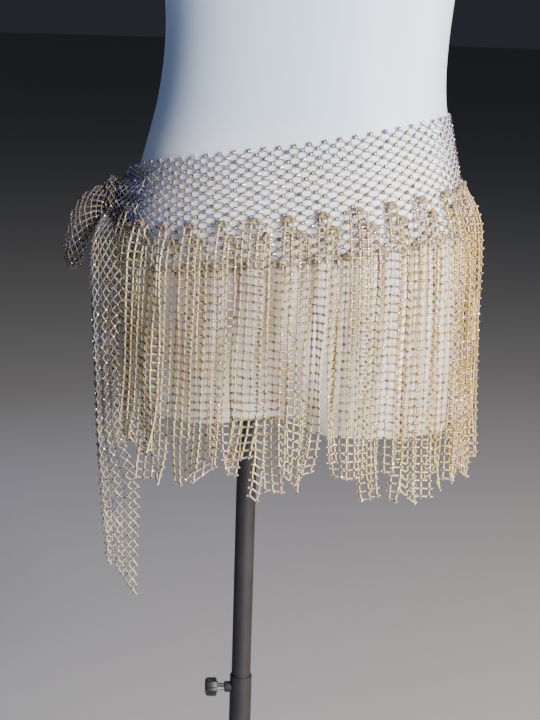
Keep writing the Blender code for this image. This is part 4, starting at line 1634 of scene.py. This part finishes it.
# %% Plate, tube and mast
BASE_RADIUS = 0.160
BASE_THICK = 0.006
BASE_EDGE = 0.0015
SLEEVE_RADIUS = 0.0112
SLEEVE_TOP = 0.408
MAST_RADIUS = 0.00975
MAST_BOTTOM = 0.220
FOOT_RADIUS = 0.030
FOOT_TOP = 0.024
MESH_GAP = 0.0003
TURNED_SIDES = 72
ROUND_STEPS = 4
SLEEVE_EDGE = 0.0004
FOOT_EDGE = ((0.0, 0.0), (0.0035, 0.0), (0.0042, 0.0007))
FOOT_WELD = ((-0.006, 0.0062), (0.0, 0.0018), (0.003, 0.0))
ORIGIN = Vector((0.0, 0.0, 0.0))


def turn_part(name, pairs, body, node, base=ORIGIN, axis=UP, sides=TURNED_SIDES, hollow=False):
    """A painted metal part from (distance, radius) pairs along its axis."""
    shape = bmesh.new()
    sweep(shape, base, axis, [(*pair, 0.0) for pair in pairs], sides, hollow=hollow)
    finish_piece(name, shape, [stand_paint], body, [node])


def build_base():
    """The plate, with both edges rounded."""
    turns = [pi / (2 * ROUND_STEPS) * i for i in range(ROUND_STEPS + 1)]
    arc = [(1 - sin(turn), 1 - cos(turn)) for turn in turns]
    lower = [(BASE_EDGE * rise, BASE_RADIUS - BASE_EDGE * inset) for rise, inset in reversed(arc)]
    upper = [(BASE_THICK - BASE_EDGE * rise, BASE_RADIUS - BASE_EDGE * inset) for rise, inset in arc]
    turn_part("base_disc", lower + upper, "stand", "base_plate", sides=2 * TURNED_SIDES)


def build_sleeve():
    """The outer tube with its welded foot and its bored inside."""
    foot = BASE_THICK + MESH_GAP
    bore = MAST_RADIUS + MESH_GAP
    pairs = [(foot, bore)]
    pairs += [(foot + rise, FOOT_RADIUS - inset) for rise, inset in FOOT_EDGE]
    pairs += [(FOOT_TOP + rise, SLEEVE_RADIUS + reach) for rise, reach in FOOT_WELD]
    pairs += [(SLEEVE_TOP - SLEEVE_EDGE, SLEEVE_RADIUS), (SLEEVE_TOP, SLEEVE_RADIUS - SLEEVE_EDGE)]
    pairs.append((SLEEVE_TOP, bore))
    turn_part("sleeve_tube", pairs, "stand", "mast_sleeve", hollow=True)


def build_mast():
    """The sliding tube that carries the form."""
    top = FORM_ROWS[0].height - MESH_GAP
    turn_part("mast_tube", [(MAST_BOTTOM, MAST_RADIUS), (top, MAST_RADIUS)], "display", "mast")


build_base()
build_sleeve()
build_mast()

# %% [markdown]
# ## The clamp screw
#
# A screw in a boss on the tube clamps the mast. Its grip is moulded plastic with
# six shallow lobes, which are a cosine added to the radius of the swept profile.
# The grip and the bright screw are one piece that rides on the knob's own body.

# %% The boss and the clamp screw
BOSS_RADIUS = 0.0055
BOSS_REACH = 0.0170
BOSS_EDGE = ((0.0008, 0.0), (0.00024, 0.00024), (0.0, 0.0008))
KNOB_HEIGHT = 0.3945
KNOB_DIRECTION = 200.0
KNOB_STEM_RADIUS = 0.0035
KNOB_STEM = 0.0075
KNOB_RADIUS = 0.0088
KNOB_THICK = 0.012
KNOB_LOBES = 6
KNOB_LOBE = 0.08
GRIP_FOOT = ((0.0, 0.0014), (0.0005, 0.0004), (0.0014, 0.0))
GRIP_CAP = ((0.0030, 0.0, 1.0), (0.0012, 0.0007, 1.0), (0.0003, 0.0020, 0.8), (0.0, 0.0040, 0.5))
WASHER_RADIUS = 0.0058
WASHER_THICK = 0.0012
WASHER_EDGE = 0.0003


def build_boss(base, axis):
    """The threaded boss, a short cylinder that dies into the tube's side."""
    pairs = [((SLEEVE_RADIUS**2 - BOSS_RADIUS**2) ** 0.5, BOSS_RADIUS)]
    pairs += [(BOSS_REACH - drop, BOSS_RADIUS - inset) for drop, inset in BOSS_EDGE]
    turn_part("screw_boss", pairs, "stand", "clamp_boss", base, axis, TURNED_SIDES // 2)


def build_knob(base, axis):
    """A bright screw with its washer, in a lobed plastic grip."""
    start = BOSS_REACH + MESH_GAP
    head = start + KNOB_STEM
    end = head + KNOB_THICK
    under = head - WASHER_THICK
    screw = ((start, KNOB_STEM_RADIUS, 0.0), (under, KNOB_STEM_RADIUS, 0.0))
    washer = (
        (under, WASHER_RADIUS - WASHER_EDGE, 0.0),
        (under + WASHER_EDGE, WASHER_RADIUS, 0.0),
        (head, WASHER_RADIUS, 0.0),
    )
    grip = [(head + rise, KNOB_RADIUS - inset, KNOB_LOBE) for rise, inset in GRIP_FOOT]
    grip += [(end - drop, KNOB_RADIUS - inset, KNOB_LOBE * share) for drop, inset, share in GRIP_CAP]
    shape = bmesh.new()
    for profile in (screw, washer):
        sweep(shape, base, axis, profile, TURNED_SIDES // 2, index=1)
    sweep(shape, base, axis, grip, TURNED_SIDES, lobes=KNOB_LOBES)
    materials = [knob_plastic, bare_steel]
    finish_piece("clamp_grip", shape, materials, "knob", ["clamp_knob"])


screw_axis = Vector((cos(radians(KNOB_DIRECTION)), sin(radians(KNOB_DIRECTION)), 0.0))
screw_base = Vector((0.0, 0.0, KNOB_HEIGHT))
build_boss(screw_base, screw_axis)
build_knob(screw_base, screw_axis)

# %% [markdown]
# ## Measure the nets
#
# Each sheet's cut size is measured and printed, as far as it shows. The band
# is a plain strip of net, as long as the way round the hips; on the belt it
# carries the knot and the hanging strips. The two ends are measured on the surfaces
# that their nets lie on, with every fold let out: the tube all round at its widest,
# and the long end with the area that its slanted cut leaves.

MEASURE_STEPS = 60


def even_steps(first, last):
    """Evenly spaced values, from the first to the last."""
    return [first + (last - first) * i / MEASURE_STEPS for i in range(MEASURE_STEPS + 1)]


def tube_girth():
    """The way all round the short end, over its folds, where it is widest."""
    rings = [[end_point(row.height, turn)[0] for turn in even_steps(0.0, 2 * pi)] for row in END_ROWS]
    return max(sum(step_lengths(ring)) for ring in rings)


def tail_cut():
    """Widest width, length and area of the long end with its pleats let out."""
    heights = even_steps(TAIL_TIP, TAIL_ROWS[-1].height)
    widths = []
    for height in heights:
        first_share = max(0.0, 1 - (height - TAIL_TIP) / TAIL_SLANT)
        line = [tail_point(height, share)[0] for share in even_steps(first_share, 1.0)]
        widths.append(sum(step_lengths(line)))
    steps = step_lengths([tail_point(height, 0.5)[0] for height in heights])
    return max(widths), sum(steps), sum(width * step for width, step in zip(widths, steps))


def declare_net(piece, flat, area=None):
    """Print a net's cut size, its area where that is no rectangle, and the area of its threads."""
    width, length = flat
    cut_area = area or width * length
    threads = sum(face.area for face in piece.data.polygons) / 2
    print(f"{piece.name}: cut {width:.3f} x {length:.3f} m, area {cut_area:.5f}, threads {threads:.5f} m2")


*tail_size, tail_area = tail_cut()
band_size = (BAND_HEIGHT, band_girth[-1][0])
declare_net(band, band_size)
declare_net(short_end, (tube_girth(), tube_length()))
declare_net(long_end, tail_size, area=tail_area)
